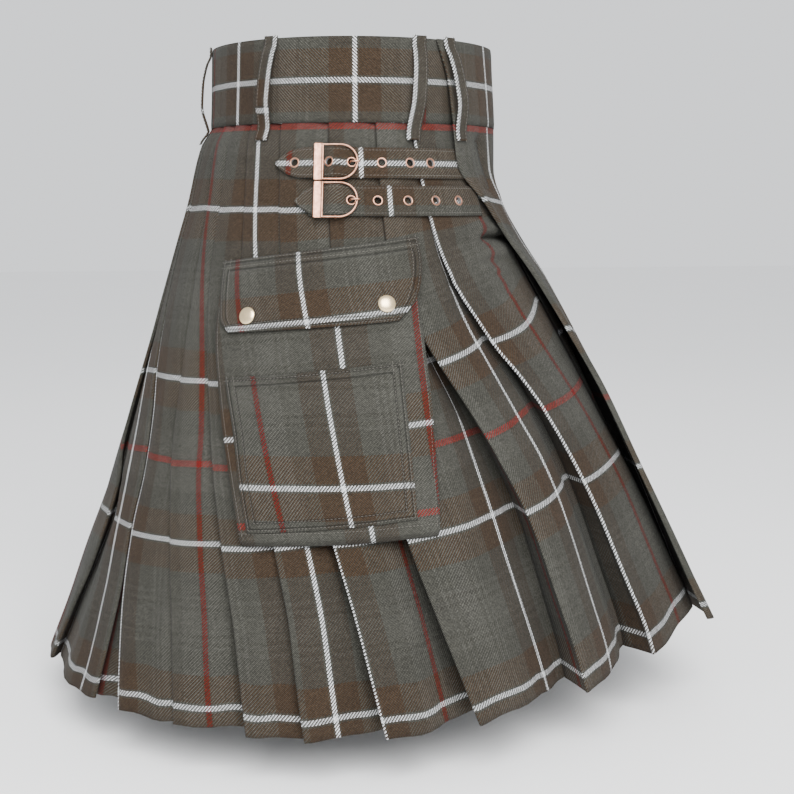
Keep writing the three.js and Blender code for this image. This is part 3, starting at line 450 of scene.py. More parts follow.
def joined(parts):
    """One vertex array and face list from several."""
    vertices, faces, start = [], [], 0
    for points, polygons in parts:
        vertices.append(np.asarray(points, float))
        faces += [[i + start for i in polygon] for polygon in polygons]
        start += len(points)
    return np.concatenate(vertices), faces


def placed(matrix, points):
    points = np.asarray(points, float)
    turn = np.array(matrix)[:3, :3]
    return points @ turn.T + np.array(matrix)[:3, 3]


def place_on(azimuth, z, out, level=0.0):
    """Axes on the form: X along the cloth to the front, Y up the cloth, Z out of it."""
    ahead = form_point(azimuth - 1, z) - form_point(azimuth + 1, z)
    ahead /= np.linalg.norm(ahead)
    up = form_point(azimuth, z + 14) - form_point(azimuth, z - 14)
    normal = np.cross(ahead, up / np.linalg.norm(up))
    normal /= np.linalg.norm(normal)
    origin = form_point(azimuth, z, level) + normal * out
    axes = np.eye(4)
    axes[:3, :3] = np.stack([ahead, np.cross(normal, ahead), normal], 1)
    axes[:3, 3] = origin
    return axes


def take(piece, slot, *nodes):
    """A finished piece rides on the kilt's one body and stands for its solids."""
    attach(piece, "root")
    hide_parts(*nodes)


# ---- the pleated length ------------------------------------------------------------------------

PANEL_PLACES = np.array([0.04, 0.1, 0.18, 0.28, 0.39, 0.5, 0.61, 0.72, 0.82, 0.91, 0.97])
START_PLACES = np.linspace(0, 1, 15)[:-1]
FOLD_TURN = np.radians([90, 35, -35, -90])
# Among a fold's own columns, its edge and its inner fold, and from there on to the next panel.
EDGE_POINT, INNER_POINT, PAST_FOLD = 1, 9, 4
# How much higher the lines lie near the over apron's free edge, and lower at the back.
PULL = table("reach high", (0, 0), (0.57, 14), (1.07, 23), (1.55, 41))
SAG = table("up low", (0, 0), (15, 0), (165, 10), (240, 14), (315, 13.5), (465, 1), (540, 0))
SAG_FROM = 98.0
# Rows lie closest behind the straps, where the creases are sharpest.
ROW_PLACES = table("share row", (0, SKIRT_TOP), (0.12, -118), (0.46, -205), (1, HEM_BACK))


def fold_rows(row):
    """Azimuth, depth, lap and grain of each fold on the right, one value for each row."""
    below = below_fell(row)
    drift = smoothstep((-100 - row) / 230)
    folds = []
    for fold in FOLDS:
        azimuth = through(FOLD_HEIGHTS[::-1], fold["at"][::-1], row)
        folds.append(dict(
            azimuth=azimuth,
            depth=mix(2 * FOLD_STEP, fold["stand"], below ** fold["early"]),
            lap=mix(WAIST_LAP, fold["lap"], below),
            arc=rad(1) * form_radius(azimuth, row),
            turn=fold["turn"],
            grain=mix(*fold["grain"], drift),
        ))
    return folds


def panel_stand(t, leaving, reaching, row):
    """How far a flat panel stands between two folds; t runs across it."""
    power = mix(4, 1.3, below_fell(row))
    both = (leaving < 0) & (reaching < 0)
    return np.where(both, mix(leaving, reaching, t), leaving * (1 - t) ** power + reaching * t ** power)


def start_stand(azimuth, row):
    """How far the pleats' hidden start stands under the aprons."""
    start = column(START, "azimuth", row)
    first = through(FOLD_HEIGHTS[::-1], FOLDS[0]["at"][::-1], row)
    t = np.clip((azimuth - start) / (first - start), 0, 1)
    return column(START, "stand", row) * (1 - t) ** 1.9


def pleat_columns(row):
    """Azimuth and stand of the right half's columns, and the columns of edges and inner folds."""
    folds = fold_rows(row)
    start = column(START, "azimuth", row)
    columns, edges, inners = [], [], []

    def put(azimuth, stand):
        columns.append((azimuth + 0 * row, stand + 0 * row))

    for t in START_PLACES:
        azimuth = mix(start, folds[0]["azimuth"], t)
        put(azimuth, start_stand(azimuth, row))
    for i, fold in enumerate(folds):
        a, d, arc, turn = fold["azimuth"], fold["depth"], fold["arc"], fold["turn"]
        before = a - (folds[i - 1]["azimuth"] if i else start)
        after = (folds[i + 1]["azimuth"] if i + 1 < len(folds) else 360 - a) - a
        lap = np.minimum(fold["lap"] / arc, (before if turn > 0 else after) * 0.46)
        half = FOLD_STEP / 2
        tip = a - turn * half / arc
        inner = a - turn * lap + turn * half / arc
        edge = [(tip + turn * half * np.cos(q) / arc, half * (np.sin(q) - 1)) for q in FOLD_TURN]
        edge += [(mix(tip, inner, t), mix(-FOLD_STEP, FOLD_STEP - d, t)) for t in (0.25, 0.5, 0.75)]
        edge += [(inner - turn * half * np.cos(q) / arc, half * (np.sin(q) + 1) - d)
                 for q in FOLD_TURN]
        edge += [(mix(inner, a, t), -d) for t in (0.4, 0.8)]
        first, last = len(columns), len(columns) + len(edge) - 1
        edges.append(first + EDGE_POINT if turn > 0 else last - EDGE_POINT)
        inners.append(first + INNER_POINT if turn > 0 else last - INNER_POINT)
        for azimuth, stand in edge[::turn]:
            put(azimuth, stand)
        if i + 1 == len(folds):
            break
        following = folds[i + 1]
        leaving = -d if turn > 0 else 0 * d
        reaching = 0 * d if following["turn"] > 0 else -following["depth"]
        for t in PANEL_PLACES:
            stand = panel_stand(t, leaving, reaching, row)
            if i == SOFT_FOLD:
                stand = -following["depth"] * through([0, 0.5, 0.78, 1], [0, 0.08, 0.9, 1], t)
            put(mix(a, following["azimuth"], t), stand)
    for t in (0.2, 0.4, 0.6, 0.8):
        put(mix(folds[-1]["azimuth"], 180.0, t), 0)
    put(180.0, 0)
    return columns, edges, inners, folds


def pleat_grid(count):
    """Points and cloth coordinates of the pleated length; the left half mirrors the right."""
    share = np.linspace(0, 1, count)
    row = np.interp(share, ROW_PLACES["share"], ROW_PLACES["row"])
    columns, edges, inners, folds = pleat_columns(row)
    azimuth = np.stack([c[0] for c in columns], 1)
    stand = np.stack([c[1] for c in columns], 1)
    row = row[:, None]
    height = row_height(row, azimuth)
    along = lengths(form_point(azimuth, height, stand), 1)
    grain = pleat_grain(along, edges, inners, folds)
    azimuth = np.concatenate([azimuth, 360 - azimuth[:, -2::-1]], 1)
    stand = np.concatenate([stand, stand[:, -2::-1]], 1)
    grain = np.concatenate([grain, 2 * BACK_GRAIN - grain[:, -2::-1]], 1)
    height = row_height(row, azimuth)
    plain = form_point(azimuth, height, stand)
    wavering = 1.3 * np.sin(azimuth * 0.27 + 1) + 0.9 * np.sin(azimuth * 0.71)
    height = height + wavering * smoothstep((-430 - row) / 117)
    points = form_point(azimuth, height, stand + creased(SKIRT_CREASES, azimuth, height))
    up = cloth_up(plain)
    reach = (folds[1]["azimuth"] - azimuth.T) / (folds[1]["azimuth"] - folds[0]["azimuth"]) / 1.75
    pull = column(PULL, "high", reach.T) * np.sqrt(np.clip(up / 315, 0, 1.3))
    up = up - pull * smoothstep((510 - up) / 150)
    up = up + column(SAG, "low", up) * smoothstep((from_front(azimuth) - SAG_FROM) / 20)
    return points, np.stack([grain, up], -1)


def pleat_grain(along, edges, inners, folds):
    """The cloth's coordinate across: true from each edge, with the hidden folds taking the rest."""
    marks = {}

    def measure(where, fold, edge):
        marks[where] = fold["grain"] + along[:, edge] - along[:, where]

    measure(0, folds[0], edges[0])
    for i, fold in enumerate(folds):
        measure(edges[i], fold, edges[i])
        measure(inners[i], fold, edges[i])
        if fold["turn"] > 0 and i:
            measure(inners[i - 1] + PAST_FOLD, fold, edges[i])
        if fold["turn"] < 0 and i + 1 < len(folds):
            measure(inners[i + 1] - PAST_FOLD, fold, edges[i])
    marks[along.shape[1] - 1] = np.full(len(along), BACK_GRAIN)
    places = sorted(marks)
    grain = np.empty_like(along)
    for r, line in enumerate(along):
        grain[r] = np.interp(line, line[places], [marks[place][r] for place in places])
    return grain


# ---- the aprons --------------------------------------------------------------------------------


def apron_arc(z):
    """The over apron's section at a height: part of an ellipse, and the roll at its edge."""
    half, corner = column(OVER_APRON, "half", z), column(OVER_APRON, "corner", z)
    middle, roll = column(OVER_APRON, "middle", z), column(OVER_APRON, "roll", z)
    sweep = rad(APRON_SWEEP)
    depth = (middle - corner) / (1 - np.cos(sweep))
    lean = np.arctan2(depth * np.sin(sweep), half / np.sin(sweep) * np.cos(sweep))
    width = (half - roll * (1 - np.sin(lean))) / np.sin(sweep)
    return dict(width=width, depth=depth, centre=middle - depth, roll=roll, lean=lean)


def arc_plan(arc, angle):
    x = -arc["width"] * np.sin(rad(angle))
    return x, -(arc["centre"] + arc["depth"] * np.cos(rad(angle)))


def apron_radius(azimuth, z):
    """The over apron's distance from the axis, found by halving."""
    azimuth, z = np.broadcast_arrays(azimuth, z)
    arc = apron_arc(z)
    wanted = np.minimum(from_front(azimuth), 80)
    low, high = np.zeros(z.shape), np.full(z.shape, APRON_SWEEP + 12)
    for _ in range(30):
        middle = (low + high) / 2
        x, y = arc_plan(arc, middle)
        short = np.degrees(np.arctan2(-x, -y)) < wanted
        low, high = np.where(short, middle, low), np.where(short, high, middle)
    return np.hypot(*arc_plan(arc, low))


def roll_plan(arc, side, radius, turns):
    """Plan points of a roll that starts along the arc's end and turns back round its centre."""
    x, y = arc_plan(arc, side * APRON_SWEEP)
    lean = arc["lean"]
    centre_x = side * x + radius * np.sin(lean)
    centre_y = y + radius * np.cos(lean)
    around = lean + rad(turns)
    return side * (centre_x - radius * np.sin(around)), centre_y - radius * np.cos(around)


def over_apron_grid(count):
    """Points and cloth coordinates: the rolled edge, the panel, the left fold and its underlay."""
    row = np.linspace(SKIRT_TOP, APRON_HEM, count)[:, None]
    arc = apron_arc(row)
    hang = np.clip((SKIRT_TOP - row) / (SKIRT_TOP - APRON_HEM), 0, 1) ** 2
    turns = np.linspace(1, 0, 9)[None, :-1] * (ROLLED_TO - np.degrees(arc["lean"]))
    edge = roll_plan(arc, 1, arc["roll"], turns)
    angle = np.linspace(APRON_SWEEP, -APRON_SWEEP, 61)[None]
    panel = arc_plan(arc, angle)
    fold_radius = mix(*LEFT_FOLD, np.clip((FELL - row) / (FELL - APRON_HEM), 0, 1))
    fold = roll_plan(arc, -1, fold_radius, np.linspace(0, 180, 9)[None, 1:])
    x, y = (np.concatenate([a, b, c], 1) for a, b, c in zip(edge, panel, fold))
    dip = np.zeros_like(x)
    dip[:, turns.shape[1]:turns.shape[1] + angle.shape[1]] = (
        APRON_DIP * hang * (1 - (angle / APRON_SWEEP) ** 2))
    points = np.stack([x, y, np.broadcast_to(row, x.shape) - dip], -1)
    points = np.concatenate([points, fold_underlay(points[:, -1:], row)], 1)
    along = lengths(points, 1)
    middle = turns.shape[1] + angle.shape[1] // 2
    grain = along[:, middle:middle + 1] - along + WHITE - APRON_WHITE
    cloth = np.stack([grain, cloth_up(points)], -1)
    azimuth = np.degrees(np.arctan2(-points[..., 0], -points[..., 1]))
    moved = creased(APRON_CREASES, azimuth, points[..., 2])
    moved[:, -(UNDERLAY_COLUMNS + 1):] = 0
    outwards = points[..., :2] / np.linalg.norm(points[..., :2], axis=-1, keepdims=True)
    points[..., :2] += outwards * moved[..., None]
    return points, cloth


def fold_underlay(end, row):
    """The cloth folded under the left edge, which closes on the pleats' hidden start."""
    azimuth_0 = np.degrees(np.arctan2(end[..., 0], -end[..., 1]))
    seam = column(START, "azimuth", row_at(row, azimuth_0)) + 0.4
    stand_0 = np.hypot(end[..., 0], end[..., 1]) - form_radius(azimuth_0, row)
    t = np.linspace(0, 1, UNDERLAY_COLUMNS + 1)[None, 1:]
    azimuth = mix(azimuth_0, seam, t)
    resting = start_stand(azimuth, row_at(row, azimuth)) + CLOTH + 3 * SEAM_GAP
    stand = np.maximum(resting, mix(stand_0, resting, t))
    return form_point(-azimuth, np.broadcast_to(row, azimuth.shape), stand)


def under_stand(azimuth, row, z):
    """How far the under apron stands; it closes on the pleats' start at both ends."""
    start = column(START, "azimuth", row)
    middle = column(OVER_APRON, "middle", z) - UNDER_GAP - column(FORM, "front", z)
    inside = np.where(azimuth < 0, 4.0, 0.0)
    end = column(START, "stand", row) - inside
    return np.where(np.abs(azimuth) > start, start_stand(np.abs(azimuth), row) - inside,
                    mix(middle, end, (azimuth / start) ** 2))


def under_apron_grid(count):
    """Points and cloth coordinates; it follows the over apron's creases more softly."""
    row = np.linspace(SKIRT_TOP, HEM_BACK, count)[:, None]
    start = column(START, "azimuth", row)
    seam = np.degrees(2 * SEAM_GAP / form_radius(start, row))
    left_end = mix(*UNDER_ENDS, (SKIRT_TOP - row) / (SKIRT_TOP - HEM_BACK))
    azimuth = mix(start - seam, -left_end, np.linspace(0, 1, 47)[None])
    hem = np.where(azimuth > 0, hem_height(azimuth), np.maximum(hem_height(azimuth), UNDER_HEM))
    z = row_height(row, azimuth, hem)
    stand = under_stand(azimuth, row, z)
    points = form_point(azimuth, z, stand + 0.6 * creased(APRON_CREASES, azimuth * 1.15, z))
    grain = 40 - lengths(points, 1)
    return points, np.stack([grain, cloth_up(points)], -1)


# ---- the waistband and its loops ---------------------------------------------------------------

# Azimuths where the band leaves the apron, lands on the form, starts to dive under its own start,
# and lies inside it.
LEAVES, LANDS, DIVES, INSIDE = 61.0, 105.0, 80.0, 45.0
BAND_OUT, BAND_IN, BAND_END = 0.15, 0.6, -418.0
# Degrees back from azimuth 0 to two white lines that are three repeats of the warp apart.
BAND_WHITES, WARP_REPEAT = (-34.9, 265.2), 250
OVER_END = table("z azimuth", (-38, 60.5), (0, 61.5), (38, 66))
BAND_CREASES = [
    (139, 40, 137, -42, 6, 0.5), (118, 38, 120, -40, 9, -0.5), (109, -5, 108, -40, 5, 0.6),
    (84, 36, 88, -36, 10, 0.5), (79, -2, 80, -40, 5, -0.5), (158, 30, 160, -40, 8, 0.6),
    (196, 38, 199, -30, 9, 0.6), (221, 20, 219, -40, 7, -0.5), (251, 38, 247, -38, 9, 0.7),
    (281, 30, 284, -40, 8, 0.5), (322, 38, 318, -38, 10, 0.7), (347, 20, 350, -40, 9, -0.5),
    (18, 38, 15, -38, 10, 0.6), (44, 30, 47, -38, 8, 0.6),
]


def band_radius(turn, z):
    """The band's distance from the axis; turn runs down from its outer end to its inner one."""
    azimuth = np.mod(turn, 360)
    form = form_radius(azimuth, z)
    right = turn + 360
    leaving = mix(apron_radius(LEAVES, z), form, smoothstep((-turn - LEAVES) / (LANDS - LEAVES)))
    hidden = under_stand(INSIDE, SKIRT_TOP, SKIRT_TOP) - BAND_IN
    diving = form + mix(hidden, BAND_OUT, smoothstep((right - INSIDE) / (DIVES - INSIDE)))
    inside = under_stand(right, SKIRT_TOP, SKIRT_TOP) - BAND_IN * np.clip(right / INSIDE, 0, 1)
    return np.select(
        [turn > -LEAVES, turn > -LANDS, right > DIVES, right > INSIDE],
        [apron_radius(azimuth, z) + BAND_OUT, leaving + BAND_OUT, form + BAND_OUT, diving],
        form + inside)


def band_grid():
    """Points and cloth coordinates of the waistband, from its outer end to its inner one."""
    z = np.linspace(BAND_TOP, BAND_FOOT, 17)[:, None]
    turn = mix(column(OVER_END, "azimuth", z), BAND_END, np.linspace(0, 1, 401)[None])
    z = np.broadcast_to(z, turn.shape)
    points = point_at(turn, band_radius(turn, z) + creased(BAND_CREASES, np.mod(turn, 360), z), z)
    along = lengths(points, 1)
    grain = np.empty_like(along)
    for r, line in enumerate(along):
        front, side = np.interp(BAND_WHITES, -turn[r], line)
        grain[r] = WHITE - 3 * WARP_REPEAT * (line - front) / (side - front)
    return points, np.stack([grain, z + LOW_WHITE], -1)


def loop_base(azimuth, z):
    """Distance from the axis of the face that a belt loop lies on."""
    turn = np.where(azimuth > OVER_END["azimuth"].max(), azimuth - 360, azimuth)
    band = band_radius(turn, np.maximum(z, BAND_FOOT)) + BAND_WALL / 2
    cloth = np.where(turn > -LANDS, apron_radius(azimuth, z), form_radius(azimuth, z)) + CLOTH / 2
    return np.where(z > BAND_FOOT, band, np.maximum(cloth, band))


def loop_grid(name):
    """Points and cloth coordinates of a belt loop, whose middle stands away from the band."""
    top, foot, centre, white = LOOPS[name]
    z = LOOP_ROWS[:, None]
    azimuth = mix(top, foot, np.clip((BAND_TOP - z) / (BAND_TOP - LOOP_FOOT), 0, 1))
    out = column(LOOP_STAND, "gap", z) + LOOP_WALL / 2
    radius = loop_base(azimuth, z) + out
    across = np.linspace(-1, 1, 9)[None] * LOOP_WIDTH / 2
    side = azimuth + np.degrees(across / radius)
    z = np.broadcast_to(z, side.shape)
    points = point_at(side, np.maximum(loop_base(side, z) + out, radius - 0.3), z)
    up = LOW_WHITE + 1.02 * (LOOP_TOP - white) - lengths(points, 0)
    return points, np.stack([centre - np.broadcast_to(across, side.shape), up], -1)


# ---- the straps --------------------------------------------------------------------------------

# The azimuth of a white line across each strap, and the cloth's coordinate along its middle.
STRAP_GRAIN = {"upper": (93.6, LOW_WHITE), "lower": (85.4, 141)}


def along_from_bar(strap, azimuth):
    return rad(STRAP_BAR - azimuth) * form_radius(STRAP_BAR, strap["z"])


def strap_stand(strap, azimuth):
    return column(STRAP_RISE, "stand", along_from_bar(strap, azimuth))


def strap_grid(name):
    """Points and cloth coordinates of a strap, with more columns where it climbs over the bar."""
    strap = STRAPS[name]
    climb = (STRAP_BAR - 9, STRAP_BAR + 7)
    azimuth = np.concatenate([np.linspace(strap["front"], climb[0], 60)[:-1],
                              np.linspace(*climb, 60)[:-1], np.linspace(climb[1], strap["tip"], 24)])
    taper = np.clip((azimuth - strap["taper"]) / (strap["tip"] - strap["taper"]), 0, 1)
    half = STRAP_WIDTH / 2 * (1 - 0.93 * taper ** 2.4)
    white, middle = STRAP_GRAIN[name]
    points, cloth = [], []
    for a, h in zip(azimuth, half):
        axes = place_on(a, strap["z"], 0)
        across = np.linspace(-1, 1, 11) * h
        line = form_point(a, strap["z"] + across * axes[2, 1])
        points.append(line + axes[:3, 2] * strap_stand(strap, a))
        grain = WHITE + rad(white - a) * form_radius(a, strap["z"])
        cloth.append(np.stack([np.full(across.shape, grain), middle + across], -1))
    return np.stack(points, 1), np.stack(cloth, 1)


# ---- the pocket's sheets -----------------------------------------------------------------------
# white: a white line down the sheet, by azimuth and height at two places, and its coordinate.
# weft: a line across it, in the same way. wide: how much wider the cloth lies at those two heights.
SHEET_LINES = {
    "bag": dict(white=(99.9, -217, 93.4, -390, 0), weft=(123, -312, 83.4, -296, HIGH_WHITE),
                wide=(1.1, 1.0)),
    "patch": dict(white=(103, -256, 97.3, -377.5, WHITE), weft=(117.8, -349, 85.7, -345, HIGH_WHITE),
                  wide=(1.02, 0.94)),
    "flap": dict(white=(111.2, -152, 107.2, -210, WHITE), weft=(127, -218.4, 83.4, -199.3, LOW_WHITE),
                 wide=(0.97, 1.0)),
}
POCKET_CREASES = [
    (121, -175, 119, -330, 12, 1.2), (96, -185, 99, -300, 14, -1.0), (90, -290, 88, -400, 11, 1.4),
    (110, -280, 107, -400, 13, 1.5), (104, -150, 103, -215, 9, 1.1), (127, -250, 121, -390, 7, -1.2),
    (84, -170, 84, -260, 7, 1.0),
]
BAG_SIDE_COLUMNS = 4
WEFT_SPREAD = 1.06             # cloth up a pocket sheet for each millimetre of height


def cloth_of(kind, azimuth, z, stand):
    """Cloth coordinates of a pocket sheet from its two known lines."""
    az_0, z_0, az_1, z_1, grain = SHEET_LINES[kind]["white"]
    line = az_0 + (az_1 - az_0) * (z - z_0) / (z_1 - z_0)
    wide = mix(*SHEET_LINES[kind]["wide"], (z - z_0) / (z_1 - z_0))
    u = grain - (azimuth - line) * rad(1) * (form_radius(azimuth, z) + stand) / wide
    az_0, z_0, az_1, z_1, height = SHEET_LINES[kind]["weft"]
    line = z_0 + (z_1 - z_0) * (azimuth - az_0) / (az_1 - az_0)
    return np.stack([u, height + (z - line) * WEFT_SPREAD], -1)


def sheet_grid(rows, kind, key, places):
    """Points and cloth coordinates between a pocket table's left and right edges."""
    key, places = key[:, None], places[None]
    right, left = column(rows, "right", key), column(rows, "left", key)
    right_z, left_z = column(rows, "right_z", key), column(rows, "left_z", key)
    z, azimuth = mix(right_z, left_z, places), mix(right, left, places)
    stand = column(rows, "stand", key)
    moved = creased(SKIRT_CREASES, azimuth, z) + creased(POCKET_CREASES, azimuth, z)
    return form_point(azimuth, z, stand + moved), cloth_of(kind, azimuth, z, stand)


def bag_grid():
    """The pocket's bag: its front, and on each side the standing wall down to the pleats."""
    foot_keys = 4 + np.array([0, 0.06, 0.16, 0.35, 0.6, 0.82, 1])
    key = np.concatenate([np.linspace(0, 4, 53)[:-1], foot_keys])
    points, cloth = sheet_grid(POCKET, "bag", key, np.linspace(0, 1, 61))
    share = np.linspace(0, 1, BAG_SIDE_COLUMNS + 1)[None, :-1, None]
    walls = []
    for edge, nudge, front in (("right", -0.25, points[:, :1]), ("left", 0.25, points[:, -1:])):
        azimuth = column(POCKET, edge, key) + nudge
        z = column(POCKET, edge + "_z", key)
        low = np.minimum(CLOTH + SEAM_GAP + 0.1, column(POCKET, "stand", key))
        low = form_point(azimuth, z, low + creased(SKIRT_CREASES, azimuth, z))
        walls.append(mix(low[:, None], front, share))
    across = np.stack([8 * (1 - share[..., 0]), 0 * share[..., 0]], -1)
    return (np.concatenate([walls[0], points, walls[1][:, ::-1]], 1),
            np.concatenate([cloth[:, :1] + across, cloth, cloth[:, -1:] - across[:, ::-1]], 1))


# ---- materials ---------------------------------------------------------------------------------

# Half of the sett, from the middle of the red line to the middle of the tramlines, in threads.
SETT = [
    ("red", 3), ("dark", 2), ("slate", 24), ("dark", 24), ("brown", 26), ("dark", 2), ("white", 5),
    ("dark", 2), ("brown", 26), ("dark", 24), ("slate", 4), ("dark", 4), ("slate", 4), ("dark", 4),
    ("slate", 12),
]
WARP_HALF, WEFT_HALF = 0.125, 0.150
WARP_RED, WEFT_RED = 0.0625, 0.240
# The warp shows less than the weft: its share of red, and of brown and slate in its brown.
DIM_RED, DIM_BROWN = 0.45, (0.4, 0.25)
# How flecks of thread, lint and soft clouds change the shade: times this, plus that.
FLECK, LINT, CLOUD = (0.5, 0.75), (0.8, 0.6), (0.3, 0.85)


class Nodes:
    """A small helper that adds nodes to a tree and joins them."""

    def __init__(self, tree):
        self.tree = tree

    def add(self, kind, inputs=(), **settings):
        node = self.tree.nodes.new(kind)
        for name, value in settings.items():
            setattr(node, name, value)
        for key, value in dict(inputs).items():
            self.feed(node, key, value)
        return node

    def feed(self, node, key, value):
        socket = node.inputs[key]
        if isinstance(value, bpy.types.NodeSocket):
            self.tree.links.new(value, socket)
        else:
            socket.default_value = value

    def math(self, operation, *values):
        node = self.add("ShaderNodeMath", operation=operation)
        for k, value in enumerate(values):
            self.feed(node, k, value)
        return node.outputs[0]

    def blend(self, factor, a, b, kind="MIX"):
        node = self.add("ShaderNodeMix", {0: factor, 6: a, 7: b}, data_type="RGBA", blend_type=kind)
        return node.outputs[2]

    def shaded(self, colour, shade):
        grey = self.add("ShaderNodeCombineColor", {0: shade, 1: shade, 2: shade}).outputs[0]
        return self.blend(1.0, colour, grey, "MULTIPLY")

    def noise(self, place, scale, detail=2.0, roughness=0.5):
        return self.add("ShaderNodeTexNoise", {"Vector": place, "Scale": scale, "Detail": detail,
                                               "Roughness": roughness}).outputs["Fac"]

    def group(self, tree, inputs):
        node = self.add("ShaderNodeGroup", node_tree=tree)
        for key, value in inputs.items():
            self.feed(node, key, value)
        return node.outputs


def new_tree(name, kind, inputs, outputs):
    """A node tree with its named sockets; returns it with its nodes and its two ends."""
    tree = bpy.data.node_groups.new(name, kind)
    for way, sockets in (("INPUT", inputs), ("OUTPUT", outputs)):
        for label, (form, *default) in sockets.items():
            item = tree.interface.new_socket(name=label, in_out=way, socket_type="NodeSocket" + form)
            if default:
                item.default_value = default[0]
    nodes = Nodes(tree)
    return tree, nodes, nodes.add("NodeGroupInput").outputs, nodes.add("NodeGroupOutput")


def stripes(nodes, place, half, red, colours):
    """The colour of a thread from its distance to the nearest red line."""
    away = nodes.math("PINGPONG", nodes.math("SUBTRACT", place, red), half)
    share = nodes.math("DIVIDE", away, half)
    ramp = nodes.add("ShaderNodeValToRGB", {"Fac": share})
    chart = ramp.color_ramp
    chart.interpolation = "CONSTANT"
    total = sum(threads for _, threads in SETT)
    start = 0.0
    for k, (colour, threads) in enumerate(SETT):
        stop = chart.elements[0] if k == 0 else chart.elements.new(start / total)
        stop.color = colours[colour]
        start += threads
    while len(chart.elements) > len(SETT):
        chart.elements.remove(chart.elements[-1])
    return ramp.outputs["Color"]


def tartan_group(cloth):
    """Tartan from cloth coordinates: warp and weft stripes by turns in a 2/2 twill, with painted shade.
    """
    group, nodes, source, result = new_tree(
        "tartan twill", "ShaderNodeTree",
        {"Cloth place": ("Vector",), "Thread": ("Float", 0.00074), "Lean": ("Float", -1.0),
         "Groove shade": ("Float", 0.8), "Weft shade": ("Float", 0.72)},
        {"Colour": ("Color",), "Height": ("Float",)})
    colours = {name: (*getattr(cloth, name), 1) for name in ("slate", "dark", "brown", "white", "red")}
    faded = DIM_BROWN[0] * Vector(cloth.brown) + DIM_BROWN[1] * Vector(cloth.slate)
    dimmed = {**colours, "red": (*(DIM_RED * Vector(cloth.red)), 1), "brown": (*faded, 1)}
    split = nodes.add("ShaderNodeSeparateXYZ", {0: source["Cloth place"]}).outputs
    warp = stripes(nodes, split[0], WARP_HALF, WARP_RED, dimmed)
    weft = stripes(nodes, split[1], WEFT_HALF, WEFT_RED, colours)
    across = nodes.math("DIVIDE", split[0], source["Thread"])
    up = nodes.math("DIVIDE", split[1], source["Thread"])
    step = nodes.math("ADD", nodes.math("FLOOR", across),
                      nodes.math("MULTIPLY", nodes.math("FLOOR", up), source["Lean"]))
    over = nodes.math("LESS_THAN", nodes.math("FLOORED_MODULO", step, 4.0), 2.0)
    colour = nodes.blend(over, weft, warp)
    phase = nodes.math("ADD", across, nodes.math("MULTIPLY", up, source["Lean"]))
    turn = nodes.math("MULTIPLY", nodes.math("SUBTRACT", phase, 1.0), math.pi)
    rib = nodes.math("MULTIPLY_ADD", nodes.math("COSINE", turn), 0.5, 0.5)
    # Painted shade: where the weft lies over the warp its colour is darkened by the weft shade factor,
    # which lowers the bump there too.
    face = nodes.add("ShaderNodeMix", {0: over, 2: source["Weft shade"], 3: 1.0}).outputs[0]
    # Painted shade: the colour is darkened in the grooves between the twill's ribs.
    groove_shade = nodes.math("SUBTRACT", 1.0, nodes.math("MULTIPLY", nodes.math("SUBTRACT", 1.0, rib),
                                                    source["Groove shade"]))
    cell = nodes.add("ShaderNodeCombineXYZ", {
        0: nodes.math("FLOOR", nodes.math("MULTIPLY", across, 0.5)), 1: nodes.math("FLOOR", up)})
    fleck = nodes.add("ShaderNodeTexWhiteNoise", {"Vector": cell.outputs[0]},
                      noise_dimensions="2D").outputs["Value"]
    lint = nodes.noise(source["Cloth place"], 420.0, 2.0, 0.6)
    cloud = nodes.noise(source["Cloth place"], 26.0, 3.0, 0.55)
    speck = nodes.math("MULTIPLY", nodes.math("MULTIPLY_ADD", fleck, *FLECK),
                       nodes.math("MULTIPLY_ADD", lint, *LINT))
    fade = nodes.math("MULTIPLY_ADD", cloud, *CLOUD)
    # The colour's factor: painted shade in the grooves and on the weft floats, times the threads' own
    # flecks, lint and clouds of tone.
    shade = nodes.math("MULTIPLY", nodes.math("MULTIPLY", groove_shade, face),
                       nodes.math("MULTIPLY", speck, fade))
    nodes.feed(result, "Colour", nodes.shaded(colour, shade))
    nodes.feed(result, "Height", nodes.math("MULTIPLY_ADD", lint, 0.3, nodes.math("MULTIPLY", rib, face)))
    return group


def wear_group():
    """Rubbed patches and fine brushing on metal, as masks from 0 to 1."""
    group, nodes, source, result = new_tree(
        "metal wear", "ShaderNodeTree", {"Place": ("Vector",), "Patch scale": ("Float", 300.0)},
        {"Patch": ("Float",), "Grain": ("Float",)})
    patch = nodes.noise(source["Place"], source["Patch scale"], 4.0, 0.6)
    nodes.feed(result, "Patch", nodes.add("ShaderNodeMapRange", {
        "Value": patch, "From Min": 0.35, "From Max": 0.68}).outputs["Result"])
    nodes.feed(result, "Grain", nodes.noise(source["Place"], 2600.0, 1.0))
    return group


def new_material(name, **constants):
    """A material, its nodes and its surface, with the surface's constant inputs set."""
    material = bpy.data.materials.new(name)
    material.use_nodes = True
    surface = material.node_tree.nodes["Principled BSDF"]
    for key, value in constants.items():
        surface.inputs[key.replace("_", " ")].default_value = value
    return material, Nodes(material.node_tree), surface


